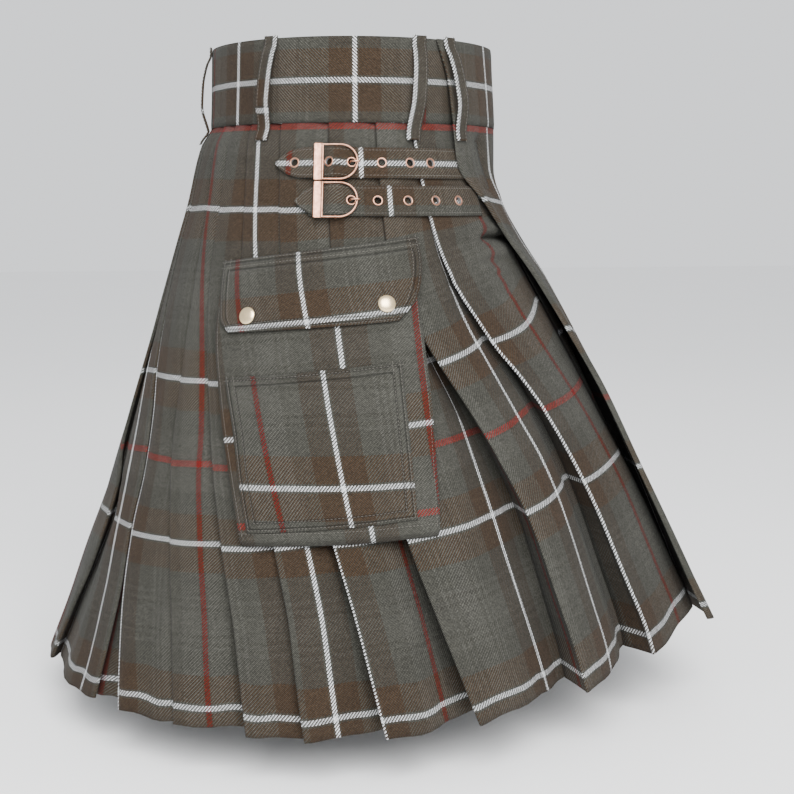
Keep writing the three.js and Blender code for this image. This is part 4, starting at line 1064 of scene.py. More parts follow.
def hem_group():
    """Two sunken lines of stitching beside a hemmed edge, from the distance to the edge; Shade is painted
    shade along them.
    """
    group, nodes, source, result = new_tree(
        "sewn hem", "ShaderNodeTree",
        {"Edge": ("Float",), "First": ("Float", 3.0), "Second": ("Float", 8.6)},
        {"Shade": ("Float",), "Height": ("Float",)})
    dips = []
    for line in ("First", "Second"):
        away = nodes.math("ABSOLUTE", nodes.math("SUBTRACT", source["Edge"], source[line]))
        dips.append(nodes.add("ShaderNodeMapRange", {
            "Value": away, "From Min": 0.2, "From Max": 1.3, "To Min": 1.0, "To Max": 0.0},
            interpolation_type="SMOOTHSTEP").outputs["Result"])
    dip = nodes.math("MAXIMUM", *dips)
    folded = nodes.math("LESS_THAN", source["Edge"], source["Second"])
    # Painted shade: the colour darkens along the sunken stitch lines.
    nodes.feed(result, "Shade", nodes.math("MULTIPLY_ADD", dip, -0.42, 1.0))
    nodes.feed(result, "Height", nodes.math("SUBTRACT", nodes.math("MULTIPLY", folded, 0.5), dip))
    return group


def cloth_material(name, group, thread, hem=None):
    material, nodes, surface = new_material(name, Roughness=0.92, Specular_IOR_Level=0.1,
                                            Sheen_Weight=0.02, Sheen_Roughness=0.5)
    place = nodes.add("ShaderNodeUVMap", uv_map="cloth").outputs["UV"]
    weave = nodes.group(group, {"Cloth place": place, "Thread": thread})
    bump = nodes.add("ShaderNodeBump", {"Strength": 0.5, "Distance": 0.0004, "Height": weave["Height"]})
    colour = weave["Colour"]
    if hem:
        edge = nodes.add("ShaderNodeAttribute", attribute_name="hem edge").outputs["Fac"]
        seam = nodes.group(hem, {"Edge": edge})
        # Painted shade along the hem's sunken stitch lines.
        colour = nodes.shaded(colour, seam["Shade"])
        bump = nodes.add("ShaderNodeBump", {"Strength": 0.9, "Distance": 0.0007,
                                            "Normal": bump.outputs[0], "Height": seam["Height"]})
    nodes.feed(surface, "Base Color", colour)
    nodes.feed(surface, "Normal", bump.outputs["Normal"])
    return material


def metal_material(name, colour, worn, roughness, wear):
    material, nodes, surface = new_material(name, Metallic=1.0)
    place = nodes.add("ShaderNodeTexCoord").outputs["Object"]
    marks = nodes.group(wear, {"Place": place})
    nodes.feed(surface, "Base Color", nodes.blend(marks["Patch"], (*colour, 1), (*worn, 1)))
    rough = nodes.math("MULTIPLY_ADD", marks["Grain"], 0.16, roughness - 0.08)
    nodes.feed(surface, "Roughness", rough)
    bump = nodes.add("ShaderNodeBump", {"Strength": 0.12, "Distance": 0.0002, "Height": marks["Grain"]})
    nodes.feed(surface, "Normal", bump.outputs["Normal"])
    return material


def plain_material(name, colour, shade, scale, roughness):
    """One colour, and the same colour times shade, in soft patches of noise."""
    material, nodes, surface = new_material(name, Roughness=roughness)
    patches = nodes.noise(nodes.add("ShaderNodeTexCoord").outputs["Object"], scale)
    darker = (*(shade * c for c in colour), 1)
    nodes.feed(surface, "Base Color", nodes.blend(patches, darker, (*colour, 1)))
    return material


# ---- repeated parts, by geometry nodes ---------------------------------------------------------

STITCH_SHARE, STITCH_RADIUS = 0.74, 0.00027    # of a stitch's pitch, and metres
STITCH_LIFT = 0.1
HEM_LINES, FOOT_LINE, EDGE_LINE, LOOP_LINE = (2.2, 8.6), 3.0, 2.4, 2.0    # distances from an edge


def repeat_tree(name, sizes):
    """A geometry node tree with named size inputs and a material; returns it with its ends."""
    sockets = {label: ("Float", default) for label, default in sizes.items()}
    return new_tree(name, "GeometryNodeTree",
                    {"Geometry": ("Geometry",), **sockets, "Finish": ("Material",)},
                    {"Geometry": ("Geometry",)})


def close_tree(nodes, source, result, points, shape, turn, scale=None):
    """Puts a shape on points, makes it real and gives it its material."""
    placed_ones = nodes.add("GeometryNodeInstanceOnPoints", {
        "Points": points, "Instance": shape, "Rotation": turn})
    if scale is not None:
        nodes.feed(placed_ones, "Scale", scale)
    real = nodes.add("GeometryNodeRealizeInstances", {"Geometry": placed_ones.outputs[0]})
    smooth = nodes.add("GeometryNodeSetShadeSmooth", {"Geometry": real.outputs[0]})
    dressed = nodes.add("GeometryNodeSetMaterial", {
        "Geometry": smooth.outputs[0], "Material": source["Finish"]})
    nodes.feed(result, "Geometry", dressed.outputs[0])


def stitch_tree():
    """Short stitches laid end to end along curves."""
    tree, nodes, source, result = repeat_tree(
        "stitch rows", {"Pitch": 0.0032, "Stitch": 0.0024, "Thread": STITCH_RADIUS})
    even = nodes.add("GeometryNodeResampleCurve", {"Curve": source["Geometry"],
                                                   "Length": source["Pitch"]}, mode="LENGTH")
    bead = nodes.add("GeometryNodeMeshUVSphere", {"Segments": 6, "Rings": 4, "Radius": 1.0})
    size = nodes.add("ShaderNodeCombineXYZ", {0: source["Thread"], 1: source["Thread"],
                                              2: nodes.math("MULTIPLY", source["Stitch"], 0.5)})
    along = nodes.add("GeometryNodeInputTangent").outputs[0]
    turn = nodes.add("FunctionNodeAlignRotationToVector", {"Vector": along}, axis="Z")
    close_tree(nodes, source, result, even.outputs[0], bead.outputs[0], turn.outputs[0], size.outputs[0])
    return tree


def eyelet_tree():
    """Rolled eyelet rings, one on each point, facing along the point's stored direction."""
    tree, nodes, source, result = repeat_tree(
        "eyelet rings", {"Ring radius": 0.0038, "Roll radius": 0.0012, "Flatness": 0.62})
    circle = nodes.add("GeometryNodeCurvePrimitiveCircle", {"Resolution": 32,
                                                            "Radius": source["Ring radius"]})
    roll = nodes.add("GeometryNodeCurvePrimitiveCircle", {"Resolution": 12,
                                                          "Radius": source["Roll radius"]})
    ring = nodes.add("GeometryNodeCurveToMesh", {"Curve": circle.outputs[0],
                                                 "Profile Curve": roll.outputs[0]})
    low = nodes.add("ShaderNodeCombineXYZ", {0: 1.0, 1: 1.0, 2: source["Flatness"]})
    flat = nodes.add("GeometryNodeTransform", {"Geometry": ring.outputs[0], "Scale": low.outputs[0]})
    facing = nodes.add("GeometryNodeInputNamedAttribute", {"Name": "facing"}, data_type="FLOAT_VECTOR")
    turn = nodes.add("FunctionNodeAlignRotationToVector", {"Vector": facing.outputs[0]}, axis="Z")
    close_tree(nodes, source, result, source["Geometry"], flat.outputs[0], turn.outputs[0])
    return tree


def evaluated_mesh(piece):
    """The mesh that an object's modifiers make."""
    scene_graph = bpy.context.evaluated_depsgraph_get()
    return bpy.data.meshes.new_from_object(piece.evaluated_get(scene_graph), depsgraph=scene_graph)


def grown(base, tree, name, sizes, material):
    """Runs a geometry node tree on an object and keeps the result as a plain mesh."""
    modifier = base.modifiers.new("repeat", "NODES")
    modifier.node_group = tree
    values = {**sizes, "Finish": material}
    for item in tree.interface.items_tree:
        if item.in_out == "INPUT" and item.name in values:
            modifier[item.identifier] = values[item.name]
    mesh = evaluated_mesh(base)
    mesh.name = name
    bpy.data.objects.remove(base)
    piece = bpy.data.objects.new(name, mesh)
    bpy.context.scene.collection.objects.link(piece)
    return piece


def curve_rows(paths):
    """A curve object with one open line for each path of millimetre points."""
    curve = bpy.data.curves.new("rows", "CURVE")
    curve.dimensions = "3D"
    for path in paths:
        line = curve.splines.new("POLY")
        line.points.add(len(path) - 1)
        flat = np.concatenate([np.asarray(path) * MM, np.ones((len(path), 1))], 1)
        line.points.foreach_set("co", flat.astype(np.float32).ravel())
    rows = bpy.data.objects.new("rows", curve)
    bpy.context.scene.collection.objects.link(rows)
    return rows


# ---- metal parts -------------------------------------------------------------------------------


def lathe(profile, sides):
    """A turned form about Z from (radius, height) pairs; a zero radius closes an end."""
    turn = np.linspace(0, 2 * math.pi, sides, endpoint=False)
    vertices, rings = [], []
    for radius, height in profile:
        start = len(vertices)
        if radius == 0:
            vertices.append((0, 0, height))
            rings.append([start] * sides)
        else:
            vertices += [(radius * math.cos(q), radius * math.sin(q), height) for q in turn]
            rings.append(list(range(start, start + sides)))
    faces = []
    for low, high in zip(rings, rings[1:]):
        for k in range(sides):
            j = (k + 1) % sides
            faces.append(list(dict.fromkeys([low[k], low[j], high[j], high[k]])))
    return vertices, faces


def buckle_plate(level):
    """The flat plate with its raised edges: one profile, a little smaller towards its two ends."""
    width, half, thick = BUCKLE["plate"], BUCKLE["half"], BUCKLE["thick"] / 2
    edge = [(0, 0.5), (0.12, 0.85), (0.5, 1.08), (1.0, 1.1), (1.45, 0.98), (1.8, 0.8), (2.4, 0.74)]
    profile = np.array([(0, -0.5), *edge, (width / 2, 0.78), *((width - x, y) for x, y in edge[::-1]),
                        (width, -0.5), (width - 0.4, -1.0), (0.4, -1.0)])
    centre = profile.mean(0)
    far = [(half - 0.8, 1.0), (half - 0.25, 0.92), (half, 0.72)]
    rings = []
    for y, share in [*((-y, share) for y, share in far[::-1]), (0, 1.0), *far]:
        ring = centre + (profile - centre) * share
        rings.append(np.stack([BUCKLE["back"] + ring[:, 0], np.full(len(ring), y),
                               level + ring[:, 1] * thick], -1))
    return np.concatenate(rings), bar_faces(len(rings), len(profile))


def buckle_parts():
    """The plate, the D of wire, and the bar with its two lugs."""
    b = BUCKLE
    level = b["base"] + b["thick"] / 2
    reach, bend = b["half"] - b["wire"], b["arc"] - b["half"]
    start = b["back"] + b["plate"] - 2
    straight = [start, *np.linspace(start + 2, bend, 8)[:-1]]
    path = [(x, -reach, level) for x in straight]
    path += [(bend + reach * math.cos(q), reach * math.sin(q), level)
             for q in np.radians(np.linspace(-90, 90, 33))]
    path += [(x, reach, level) for x in straight[::-1]]
    end = b["half"] - 0.9
    bar = [(0, y, b["bar_stand"]) for y in np.linspace(-end, end, 6)]
    parts = [tube(path, b["wire"], 12, (0, 0, 1)), buckle_plate(level),
             tube(bar, b["bar"], 12, (1, 0, 0))]
    for side in (-1, 1):
        lug = [(0, side * end, mix(b["bar_stand"], level, share)) for share in (-0.15, 0.5, 1)]
        parts.append(tube(lug, [1.1, 1.0, 0.95], 10, (1, 0, 0)))
    return joined(parts)


def round_the_bar(radius, start, end, steps):
    """Points round a buckle's bar, in its own X and Z."""
    turn = np.radians(np.linspace(start, end, steps + 1))
    return [(radius * math.cos(q), BUCKLE["bar_stand"] + radius * math.sin(q)) for q in turn]


def prong_parts():
    """The prong: a flat wire wrapped round the bar, through its eyelet and onto the D."""
    ring = BUCKLE["bar"] + SEAM_GAP + 0.55
    low = BUCKLE["bar_stand"] - ring
    high = BUCKLE["base"] + BUCKLE["thick"] + SEAM_GAP + 0.55
    path = round_the_bar(ring, 20, 270, 12)
    arc = BUCKLE["arc"]
    path += [(6, low - 0.1), (10.6, low + 0.1), (12, low + 1.6), (13.6, high - 1.4),
             (15.2, high - 0.1), (17, high + 0.15), (19, high + 0.2), (arc, high),
             (arc + 1.6, high - 0.9)]
    radius = [1.0] * (len(path) - 2) + [0.92, 0.85]
    return tube([(x, 0, z) for x, z in path], radius, 12, (0, 1, 0), flat=0.62)


def tab_grid(name):
    """The cloth tab behind a buckle, in the buckle's own axes."""
    strap = STRAPS[name]
    wrap = BUCKLE["bar"] + SEAM_GAP + TAB["wall"] / 2
    end = along_from_bar(strap, TAB["end"])
    fall = 1 / (2 * form_radius(STRAP_BAR, strap["z"]))
    flat = [(x, BUCKLE["bar_stand"] - wrap - x ** 2 * fall) for x in end * np.linspace(1, 0.1, 16)]
    path = np.array(flat + round_the_bar(wrap, -90, 160, 14))
    across = np.linspace(-1, 1, 15)[:, None] * TAB["width"] / 2
    points = np.stack(np.broadcast_arrays(path[:, 0], across, path[:, 1]), -1)
    return points, np.stack([TAB_GRAIN[0] - lengths(points, 1), TAB_GRAIN[1] + points[..., 1]], -1)


# ---- sizes and colours that a user would change --------------------------------------------------


class KiltCloth(bpy.types.PropertyGroup):
    """The tartan cloth."""

    slate: bpy.props.FloatVectorProperty(
        name="Slate", description="Colour of the ground threads", subtype="COLOR", size=3,
        min=0, max=1, default=(0.070, 0.069, 0.059))
    dark: bpy.props.FloatVectorProperty(
        name="Dark slate", description="Colour of the darker ground threads", subtype="COLOR", size=3,
        min=0, max=1, default=(0.055, 0.054, 0.045))
    brown: bpy.props.FloatVectorProperty(
        name="Brown", description="Colour of the threads on each side of a white line",
        subtype="COLOR", size=3, min=0, max=1, default=(0.058, 0.034, 0.018))
    white: bpy.props.FloatVectorProperty(
        name="White", description="Colour of the white lines", subtype="COLOR", size=3,
        min=0, max=1, default=(0.74, 0.75, 0.76))
    red: bpy.props.FloatVectorProperty(
        name="Red", description="Colour of the red lines", subtype="COLOR", size=3,
        min=0, max=1, default=(0.24, 0.019, 0.016))
    thickness: bpy.props.FloatProperty(
        name="Cloth thickness", description="Thickness of one layer", unit="LENGTH",
        default=CLOTH * MM, min=0.0005, max=0.002)
    thread: bpy.props.FloatProperty(
        name="Thread pitch", description="Distance from one thread to the next", unit="LENGTH",
        default=0.00074, min=0.0002, max=0.002, precision=5)
    rows: bpy.props.IntProperty(
        name="Rows", description="Rows of faces from the waistband's seam to the hem",
        default=90, min=20, max=110)


class KiltTrim(bpy.types.PropertyGroup):
    """Stitches and metal."""

    copper: bpy.props.FloatVectorProperty(
        name="Copper", description="Colour of buckles and eyelets", subtype="COLOR", size=3,
        min=0, max=1, default=(0.50, 0.27, 0.18))
    copper_worn: bpy.props.FloatVectorProperty(
        name="Worn copper", description="Colour where the copper is darkened", subtype="COLOR",
        size=3, min=0, max=1, default=(0.27, 0.135, 0.09))
    brass: bpy.props.FloatVectorProperty(
        name="Brass", description="Colour of the snap caps", subtype="COLOR", size=3,
        min=0, max=1, default=(0.76, 0.60, 0.36))
    brass_worn: bpy.props.FloatVectorProperty(
        name="Worn brass", description="Colour where the snap caps are rubbed", subtype="COLOR",
        size=3, min=0, max=1, default=(0.70, 0.55, 0.33))
    stitch_pitch: bpy.props.FloatProperty(
        name="Stitch pitch", description="Distance from one stitch to the next", unit="LENGTH",
        default=0.0032, min=0.001, max=0.01, precision=4)
    thread_colour: bpy.props.FloatVectorProperty(
        name="Sewing thread", description="Colour of the stitches", subtype="COLOR", size=3,
        min=0, max=1, default=(0.085, 0.078, 0.066))


class KiltStage(bpy.types.PropertyGroup):
    """Floor, light and camera."""

    floor_colour: bpy.props.FloatVectorProperty(
        name="Floor", description="Colour of the floor", subtype="COLOR", size=3,
        min=0, max=1, default=(0.93, 0.93, 0.93))
    floor_drop: bpy.props.FloatProperty(
        name="Floor drop", description="Room between the hem and the floor", unit="LENGTH",
        default=0.045, min=0, max=1)
    key_power: bpy.props.FloatProperty(
        name="Key light", description="Power of the main light", unit="POWER", default=190, min=0)
    fill_power: bpy.props.FloatProperty(
        name="Fill light", description="Power of the softer light", unit="POWER", default=3, min=0)
    lens: bpy.props.FloatProperty(
        name="Lens", description="Focal length of the camera", unit="CAMERA", default=68, min=10)


FLOOR_HALF = 9000.0
# Each light's place and size in metres, and the point that they all face.
LIGHTS = {
    "key": ((-2.25, 0.05, 1.25), 1.9), "fill": ((-1.4, 1.7, 0.6), 1.8), "back": ((1.9, -0.2, 1.2), 1.6),
}
LIT_POINT = Vector((0, 0, -0.3))
ROOM_COLOUR, ROOM_STRENGTH = (0.95, 0.97, 1.0, 1), 1.25
SENSOR = 36
EYE, EYE_AHEAD, EYE_TILT = (-1.490, 0.209, -0.1055), (0.9851, -0.1720), math.radians(7.5)
# Materials and node trees that pieces share, by name.
MADE = {}


def finish_of(name):
    """A shared material, built the first time that a piece asks for it."""
    cloth, trim = bpy.context.scene.kilt_cloth, bpy.context.scene.kilt_trim
    if name not in MADE:
        if "twill" not in MADE:
            MADE["twill"], MADE["wear"] = tartan_group(cloth), wear_group()
        builders = {
            "tartan": lambda: cloth_material("tartan cloth", MADE["twill"], cloth.thread),
            "hemmed tartan": lambda: cloth_material("hemmed tartan", MADE["twill"], cloth.thread,
                                                    hem_group()),
            "copper": lambda: metal_material("antique copper", trim.copper, trim.copper_worn, 0.36,
                                             MADE["wear"]),
            "brass": lambda: metal_material("satin brass", trim.brass, trim.brass_worn, 0.3,
                                            MADE["wear"]),
            "thread": lambda: plain_material("sewing thread", trim.thread_colour, 0.6, 1500.0, 0.7),
        }
        MADE[name] = builders[name]()
    return MADE[name]


def cut_holes(piece, cutters):
    """Takes closed cutters out of a piece and leaves a plain mesh."""
    for cutter in cutters:
        modifier = piece.modifiers.new("hole", "BOOLEAN")
        modifier.operation = "DIFFERENCE"
        modifier.object = cutter
        modifier.solver = "EXACT"
    old, name = piece.data, piece.data.name
    piece.data = evaluated_mesh(piece)
    piece.modifiers.clear()
    bpy.data.meshes.remove(old)
    piece.data.name = name
    for cutter in cutters:
        bpy.data.objects.remove(cutter)


def sample(points, row, across):
    """Points of a grid at fractional rows and columns."""
    rows, columns = points.shape[:2]
    row, across = np.clip(row, 0, rows - 1.001), np.clip(across, 0, columns - 1.001)
    r, c = row.astype(int), across.astype(int)
    fr, fc = (row - r)[:, None], (across - c)[:, None]
    low = points[r, c] * (1 - fc) + points[r, c + 1] * fc
    high = points[r + 1, c] * (1 - fc) + points[r + 1, c + 1] * fc
    return low * (1 - fr) + high * fr


def hem_path(points, inset, wall, sides):
    """A line on a wall, set in from its edges; sides names the edges it follows, in order."""
    raised = points + normals_facing_out(points) * (wall / 2 + STITCH_LIFT)
    along, down = lengths(points, 1), lengths(points, 0).T
    r, c = np.arange(len(along)), np.arange(len(down))
    first = np.array([np.interp(inset, line, c) for line in along])
    last = np.array([np.interp(line[-1] - inset, line, c) for line in along])
    top = np.array([np.interp(inset, line, r) for line in down])
    foot = np.array([np.interp(line[-1] - inset, line, r) for line in down])
    upright = np.linspace(top.mean() if "top" in sides else 0,
                          foot.mean() if "foot" in sides else r[-1], 60)
    level = np.linspace(first.mean() if "first" in sides else 0,
                        last.mean() if "last" in sides else c[-1], 80)
    lines = {
        "first": (upright, np.interp(upright, r, first)),
        "last": (upright[::-1], np.interp(upright[::-1], r, last)),
        "top": (np.interp(level[::-1], c, top), level[::-1]),
        "foot": (np.interp(level, c, foot), level),
    }
    return np.concatenate([sample(raised, *lines[side]) for side in sides])


def normals_facing_out(points):
    normal = normals_of(points)
    return normal if (normal[..., :2] * points[..., :2]).sum() > 0 else -normal


def make_stitches(name, paths):
    """Rows of stitches along paths, as one piece."""
    if "stitches" not in MADE:
        MADE["stitches"] = stitch_tree()
    pitch = bpy.context.scene.kilt_trim.stitch_pitch
    sizes = {"Pitch": pitch, "Stitch": pitch * STITCH_SHARE, "Thread": STITCH_RADIUS}
    piece = grown(curve_rows(paths), MADE["stitches"], name, sizes, finish_of("thread"))
    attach(piece, "root")


# ---- one operator for each piece -----------------------------------------------------------------


class KILT_OT_pleats(bpy.types.Operator):
    """Make the pleated length that goes round the sides and back"""

    bl_idname = "kilt.pleats"
    bl_label = "Pleats"

    def execute(self, context):
        cloth = context.scene.kilt_cloth
        points, place = pleat_grid(cloth.rows)
        piece = cloth_wall("pleated_length", points, place, cloth.thickness / MM, finish_of("tartan"))
        take(piece, "tartan_cloth", "pleats")
        return {"FINISHED"}


class KILT_OT_aprons(bpy.types.Operator):
    """Make the over apron and the under apron"""

    bl_idname = "kilt.aprons"
    bl_label = "Aprons"

    def execute(self, context):
        cloth = context.scene.kilt_cloth
        for name, grid, flat in (("over_apron", over_apron_grid, (0.385, 0.525)),
                                 ("under_apron", under_apron_grid, (0.32, 0.51))):
            points, place = grid(cloth.rows)
            piece = cloth_wall(name + "_cloth", points, place, cloth.thickness / MM, finish_of("tartan"))
            take(piece, "tartan_cloth", name)
        return {"FINISHED"}


class KILT_OT_waistband(bpy.types.Operator):
    """Make the waistband, which wraps once round and overlaps itself"""

    bl_idname = "kilt.waistband"
    bl_label = "Waistband"

    def execute(self, context):
        points, place = band_grid()
        piece = cloth_wall("waistband_cloth", points, place, BAND_WALL, finish_of("tartan"), 0.7)
        take(piece, "tartan_cloth", "waistband")
        return {"FINISHED"}


class KILT_OT_belt_loops(bpy.types.Operator):
    """Make the six belt loops and their edge stitching"""

    bl_idname = "kilt.belt_loops"
    bl_label = "Belt loops"

    def execute(self, context):
        rows = []
        for name in LOOPS:
            points, place = loop_grid(name)
            piece = cloth_wall(name + "_cloth", points, place, LOOP_WALL, finish_of("tartan"), 0.55)
            take(piece, "tartan_cloth", name)
            rows += [hem_path(points, LOOP_LINE, LOOP_WALL, [side]) for side in ("first", "last")]
        make_stitches("loop_stitches", rows)
        return {"FINISHED"}


def eyelet_axes(strap, azimuth):
    """Axes of an eyelet, tilted with the strap where it climbs over the bar."""
    axes = place_on(azimuth, strap["z"], strap_stand(strap, azimuth))
    rise = strap_stand(strap, azimuth - 1) - strap_stand(strap, azimuth + 1)
    run = along_from_bar(strap, azimuth - 1) - along_from_bar(strap, azimuth + 1)
    return axes @ np.array(Matrix.Rotation(-math.atan2(rise, run), 4, "Y"))


def make_strap(name, strap):
    """One strap with its punched holes; returns the line of its edge stitching."""
    points, place = strap_grid(name)
    piece = cloth_wall(f"strap_{name}_cloth", points, place, STRAP_WALL, finish_of("tartan"), 0.6)
    bore = EYELET["barrel"] - 0.2
    drill, faces = lathe([(0, -DRILL), (bore, -DRILL), (bore, DRILL), (0, DRILL)], 28)
    cut_holes(piece, [solid("cutter", placed(eyelet_axes(strap, azimuth), drill), faces)
                      for azimuth in strap["eyelets"]])
    take(piece, "tartan_cloth", f"strap_{name}")
    return hem_path(points, EDGE_LINE, STRAP_WALL, ["foot", "last", "top"])


def make_tab(name, strap):
    """The tab that holds a buckle, with the slot that its prong moves in."""
    where = place_on(STRAP_BAR, strap["z"], BUCKLE_LIFT)
    points, place = tab_grid(name)
    laid = placed(where, points.reshape(-1, 3)).reshape(points.shape)
    tab = cloth_wall(f"buckle_tab_{name}_cloth", laid, place, TAB["wall"], finish_of("tartan"))
    half = TAB["slot"] / 2
    corners = [(x, y, z) for x in (-3.5, 8.5) for y in (-half, half) for z in (-7, 13)]
    faces = [(0, 1, 3, 2), (4, 6, 7, 5), (0, 4, 5, 1), (2, 3, 7, 6), (0, 2, 6, 4), (1, 5, 7, 3)]
    cut_holes(tab, [solid("cutter", placed(where, corners), faces)])
    take(tab, "tartan_cloth", f"buckle_tab_{name}")


class KILT_OT_straps(bpy.types.Operator):
    """Make the two straps with their punched holes and edge stitching, and the buckle tabs"""

    bl_idname = "kilt.straps"
    bl_label = "Straps"

    def execute(self, context):
        rows = []
        for name, strap in STRAPS.items():
            rows.append(make_strap(name, strap))
            make_tab(name, strap)
        make_stitches("strap_stitches", rows)
        return {"FINISHED"}


class KILT_OT_eyelets(bpy.types.Operator):
    """Make the copper eyelets of both straps"""

    bl_idname = "kilt.eyelets"
    bl_label = "Eyelets"

    def execute(self, context):
        tree = eyelet_tree()
        for name, strap in STRAPS.items():
            seats = [eyelet_axes(strap, azimuth) for azimuth in strap["eyelets"]]
            outwards = np.array([axes[:3, 2] for axes in seats])
            centres = np.array([axes[:3, 3] for axes in seats]) + outwards * (STRAP_WALL / 2 + 0.25)
            base = new_object("seats", centres, [])
            facing = base.data.attributes.new("facing", "FLOAT_VECTOR", "POINT")
            facing.data.foreach_set("vector", outwards.astype(np.float32).ravel())
            sizes = {"Ring radius": (EYELET["bore"] + EYELET["flange"]) / 2 * MM,
                     "Roll radius": (EYELET["flange"] - EYELET["bore"]) / 2 * MM}
            piece = grown(base, tree, f"eyelets_{name}", sizes, finish_of("copper"))
            take(piece, "copper_finish", *(f"eyelet_{name}_{k + 1}" for k in range(len(seats))))
        return {"FINISHED"}


class KILT_OT_buckles(bpy.types.Operator):
    """Make the two buckle frames and their prongs"""

    bl_idname = "kilt.buckles"
    bl_label = "Buckles"

    def execute(self, context):
        for name, strap in STRAPS.items():
            where = place_on(STRAP_BAR, strap["z"], BUCKLE_LIFT)
            for part, (points, faces) in (("frame", buckle_parts()), ("prong", prong_parts())):
                node = f"buckle_{part}_{name}"
                piece = solid(node + "_metal", placed(where, points), faces, finish_of("copper"))
                take(piece, "copper_finish", node)
        return {"FINISHED"}


class KILT_OT_pocket(bpy.types.Operator):
    """Make the cargo pocket: its bag, patch and flap, with their stitching"""

    bl_idname = "kilt.pocket"
    bl_label = "Pocket"

    def execute(self, context):
        cloth = context.scene.kilt_cloth
        bag, place = bag_grid()
        piece = cloth_wall("pocket_bag_cloth", bag, place, cloth.thickness / MM, finish_of("tartan"))
        take(piece, "tartan_cloth", "pocket_bag")
        patch, place = sheet_grid(PATCH, "patch", np.linspace(0, 3, 46), np.linspace(0, 1, 56))
        piece = cloth_wall("pocket_patch_cloth", patch, place, PATCH_WALL, finish_of("hemmed tartan"),
                           0.6, dict(first=1, last=1, top=1, foot=1))
        take(piece, "tartan_cloth", "pocket_patch")
        flap, place = sheet_grid(FLAP, "flap", np.linspace(0, 4, 34), np.linspace(0, 1, 66))
        piece = cloth_wall("pocket_flap_cloth", flap, place, FLAP_WALL, finish_of("hemmed tartan"),
                           0.5, dict(first=0.75, last=0.75, top=1.4, foot=1))
        take(piece, "tartan_cloth", "pocket_flap")
        rows = []
        around = ["first", "foot", "last"]
        for inset in HEM_LINES:
            rows += [hem_path(flap, inset, FLAP_WALL, around), hem_path(flap, inset, FLAP_WALL, ["top"]),
                     hem_path(patch, inset, PATCH_WALL, around)]
        rows.append(hem_path(patch, FOOT_LINE, PATCH_WALL, ["top"]))
        front = bag[:-6, BAG_SIDE_COLUMNS:-BAG_SIDE_COLUMNS]
        rows += [hem_path(front[:-1], EDGE_LINE, CLOTH, [side]) for side in ("first", "last")]
        rows.append(hem_path(front, FOOT_LINE, CLOTH, ["foot"]))
        make_stitches("pocket_stitches", rows)
        return {"FINISHED"}


class KILT_OT_snaps(bpy.types.Operator):
    """Make the two snap caps on the pocket's flap"""

    bl_idname = "kilt.snaps"
    bl_label = "Snaps"

    def execute(self, context):
        r = SNAP_RADIUS
        points, faces = lathe([(0, -0.2), (r - 0.6, -0.2), (r - 0.05, 0.1), (r, 0.55), (r - 0.25, 0.95),
                               (r * 0.9, 1.3), (r * 0.78, 1.85), (r * 0.6, 2.35), (r * 0.4, 2.7),
                               (r * 0.2, 2.92), (0, 3.0)], 40)
        for name, (azimuth, z) in SNAPS.items():
            where = place_on(azimuth, z, FLAP_WALL / 2 + SEAM_GAP + 0.2, FLAP_STAND)
            piece = solid(name + "_cap", placed(where, points), faces, finish_of("brass"))
            take(piece, "snap_brass", name)
        return {"FINISHED"}


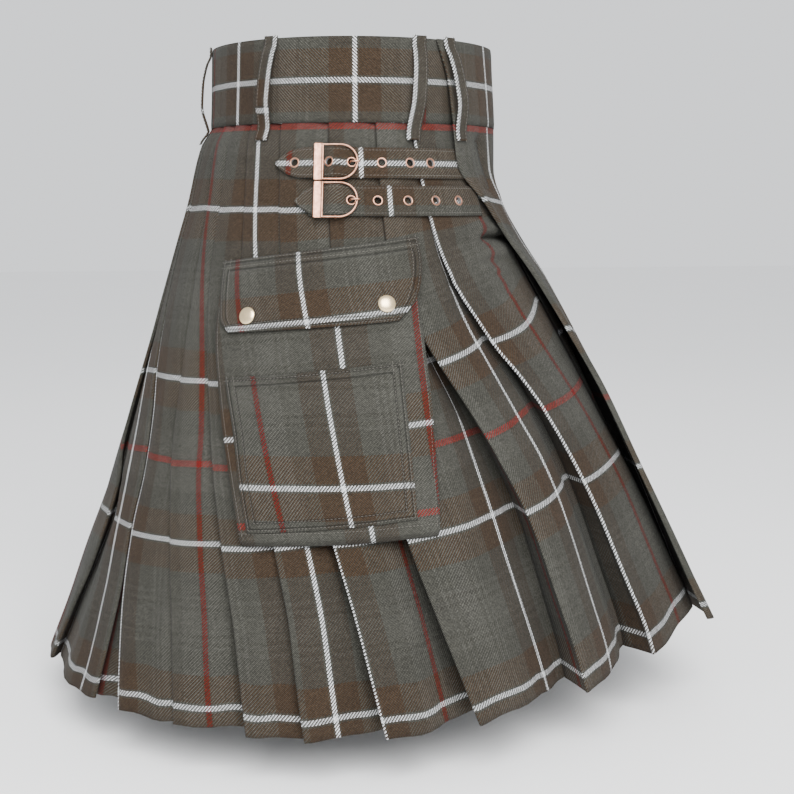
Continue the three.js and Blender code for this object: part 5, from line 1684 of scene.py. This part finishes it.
class KILT_OT_stage(bpy.types.Operator):
    """Make the floor, the soft light and the camera"""

    bl_idname = "kilt.stage"
    bl_label = "Stage"

    def execute(self, context):
        stage = context.scene.kilt_stage
        level = CAD_LOW.z / MM - stage.floor_drop / MM
        corners = [(x * FLOOR_HALF, y * FLOOR_HALF, level)
                   for x, y in ((-1, -1), (1, -1), (1, 1), (-1, 1))]
        floor = new_object("floor", corners, [range(4)])
        finish = plain_material("pale floor", stage.floor_colour, 0.98, 3.0, 0.9)
        floor.data.materials.append(finish)
        world = bpy.data.worlds.new("soft room")
        world.use_nodes = True
        room = world.node_tree.nodes["Background"]
        room.inputs["Color"].default_value = ROOM_COLOUR
        room.inputs["Strength"].default_value = ROOM_STRENGTH
        context.scene.world = world
        for name, (place, size) in LIGHTS.items():
            light = bpy.data.lights.new(name, "AREA")
            light.energy = stage.key_power if name == "key" else stage.fill_power
            light.size = size
            lamp = bpy.data.objects.new(name, light)
            lamp.location = place
            lamp.rotation_euler = (LIT_POINT - Vector(place)).to_track_quat("-Z", "Y").to_euler()
            context.scene.collection.objects.link(lamp)
        camera = bpy.data.cameras.new("camera")
        camera.lens, camera.sensor_width = stage.lens, SENSOR
        eye = bpy.data.objects.new("camera", camera)
        eye.location = EYE
        x, y = EYE_AHEAD
        ahead = Vector((x * math.cos(EYE_TILT), y * math.cos(EYE_TILT), -math.sin(EYE_TILT)))
        eye.rotation_euler = ahead.to_track_quat("-Z", "Y").to_euler()
        context.scene.collection.objects.link(eye)
        context.scene.camera = eye
        return {"FINISHED"}


PIECES = (KILT_OT_pleats, KILT_OT_aprons, KILT_OT_waistband, KILT_OT_belt_loops, KILT_OT_straps,
          KILT_OT_eyelets, KILT_OT_buckles, KILT_OT_pocket, KILT_OT_snaps, KILT_OT_stage)


class KILT_PT_panel(bpy.types.Panel):
    """Lists the kilt's sizes, colours and pieces"""

    bl_label = "Utility kilt"
    bl_idname = "KILT_PT_panel"
    bl_space_type = "VIEW_3D"
    bl_region_type = "UI"
    bl_category = "Kilt"

    def draw(self, context):
        for group in (context.scene.kilt_cloth, context.scene.kilt_trim, context.scene.kilt_stage):
            box = self.layout.box()
            for name in group.bl_rna.properties.keys():
                if name not in ("rna_type", "name"):
                    box.prop(group, name)
        for piece in PIECES:
            self.layout.operator(piece.bl_idname)


GROUPS = {"kilt_cloth": KiltCloth, "kilt_trim": KiltTrim, "kilt_stage": KiltStage}


def register():
    for kind in (*GROUPS.values(), *PIECES, KILT_PT_panel):
        bpy.utils.register_class(kind)
    for name, kind in GROUPS.items():
        setattr(bpy.types.Scene, name, bpy.props.PointerProperty(type=kind))


def unregister():
    for name in GROUPS:
        delattr(bpy.types.Scene, name)
    for kind in reversed((*GROUPS.values(), *PIECES, KILT_PT_panel)):
        bpy.utils.unregister_class(kind)


def main():
    register()
    for piece in PIECES:
        family, name = piece.bl_idname.split(".")
        getattr(getattr(bpy.ops, family), name)()


if __name__ == "__main__":
    main()
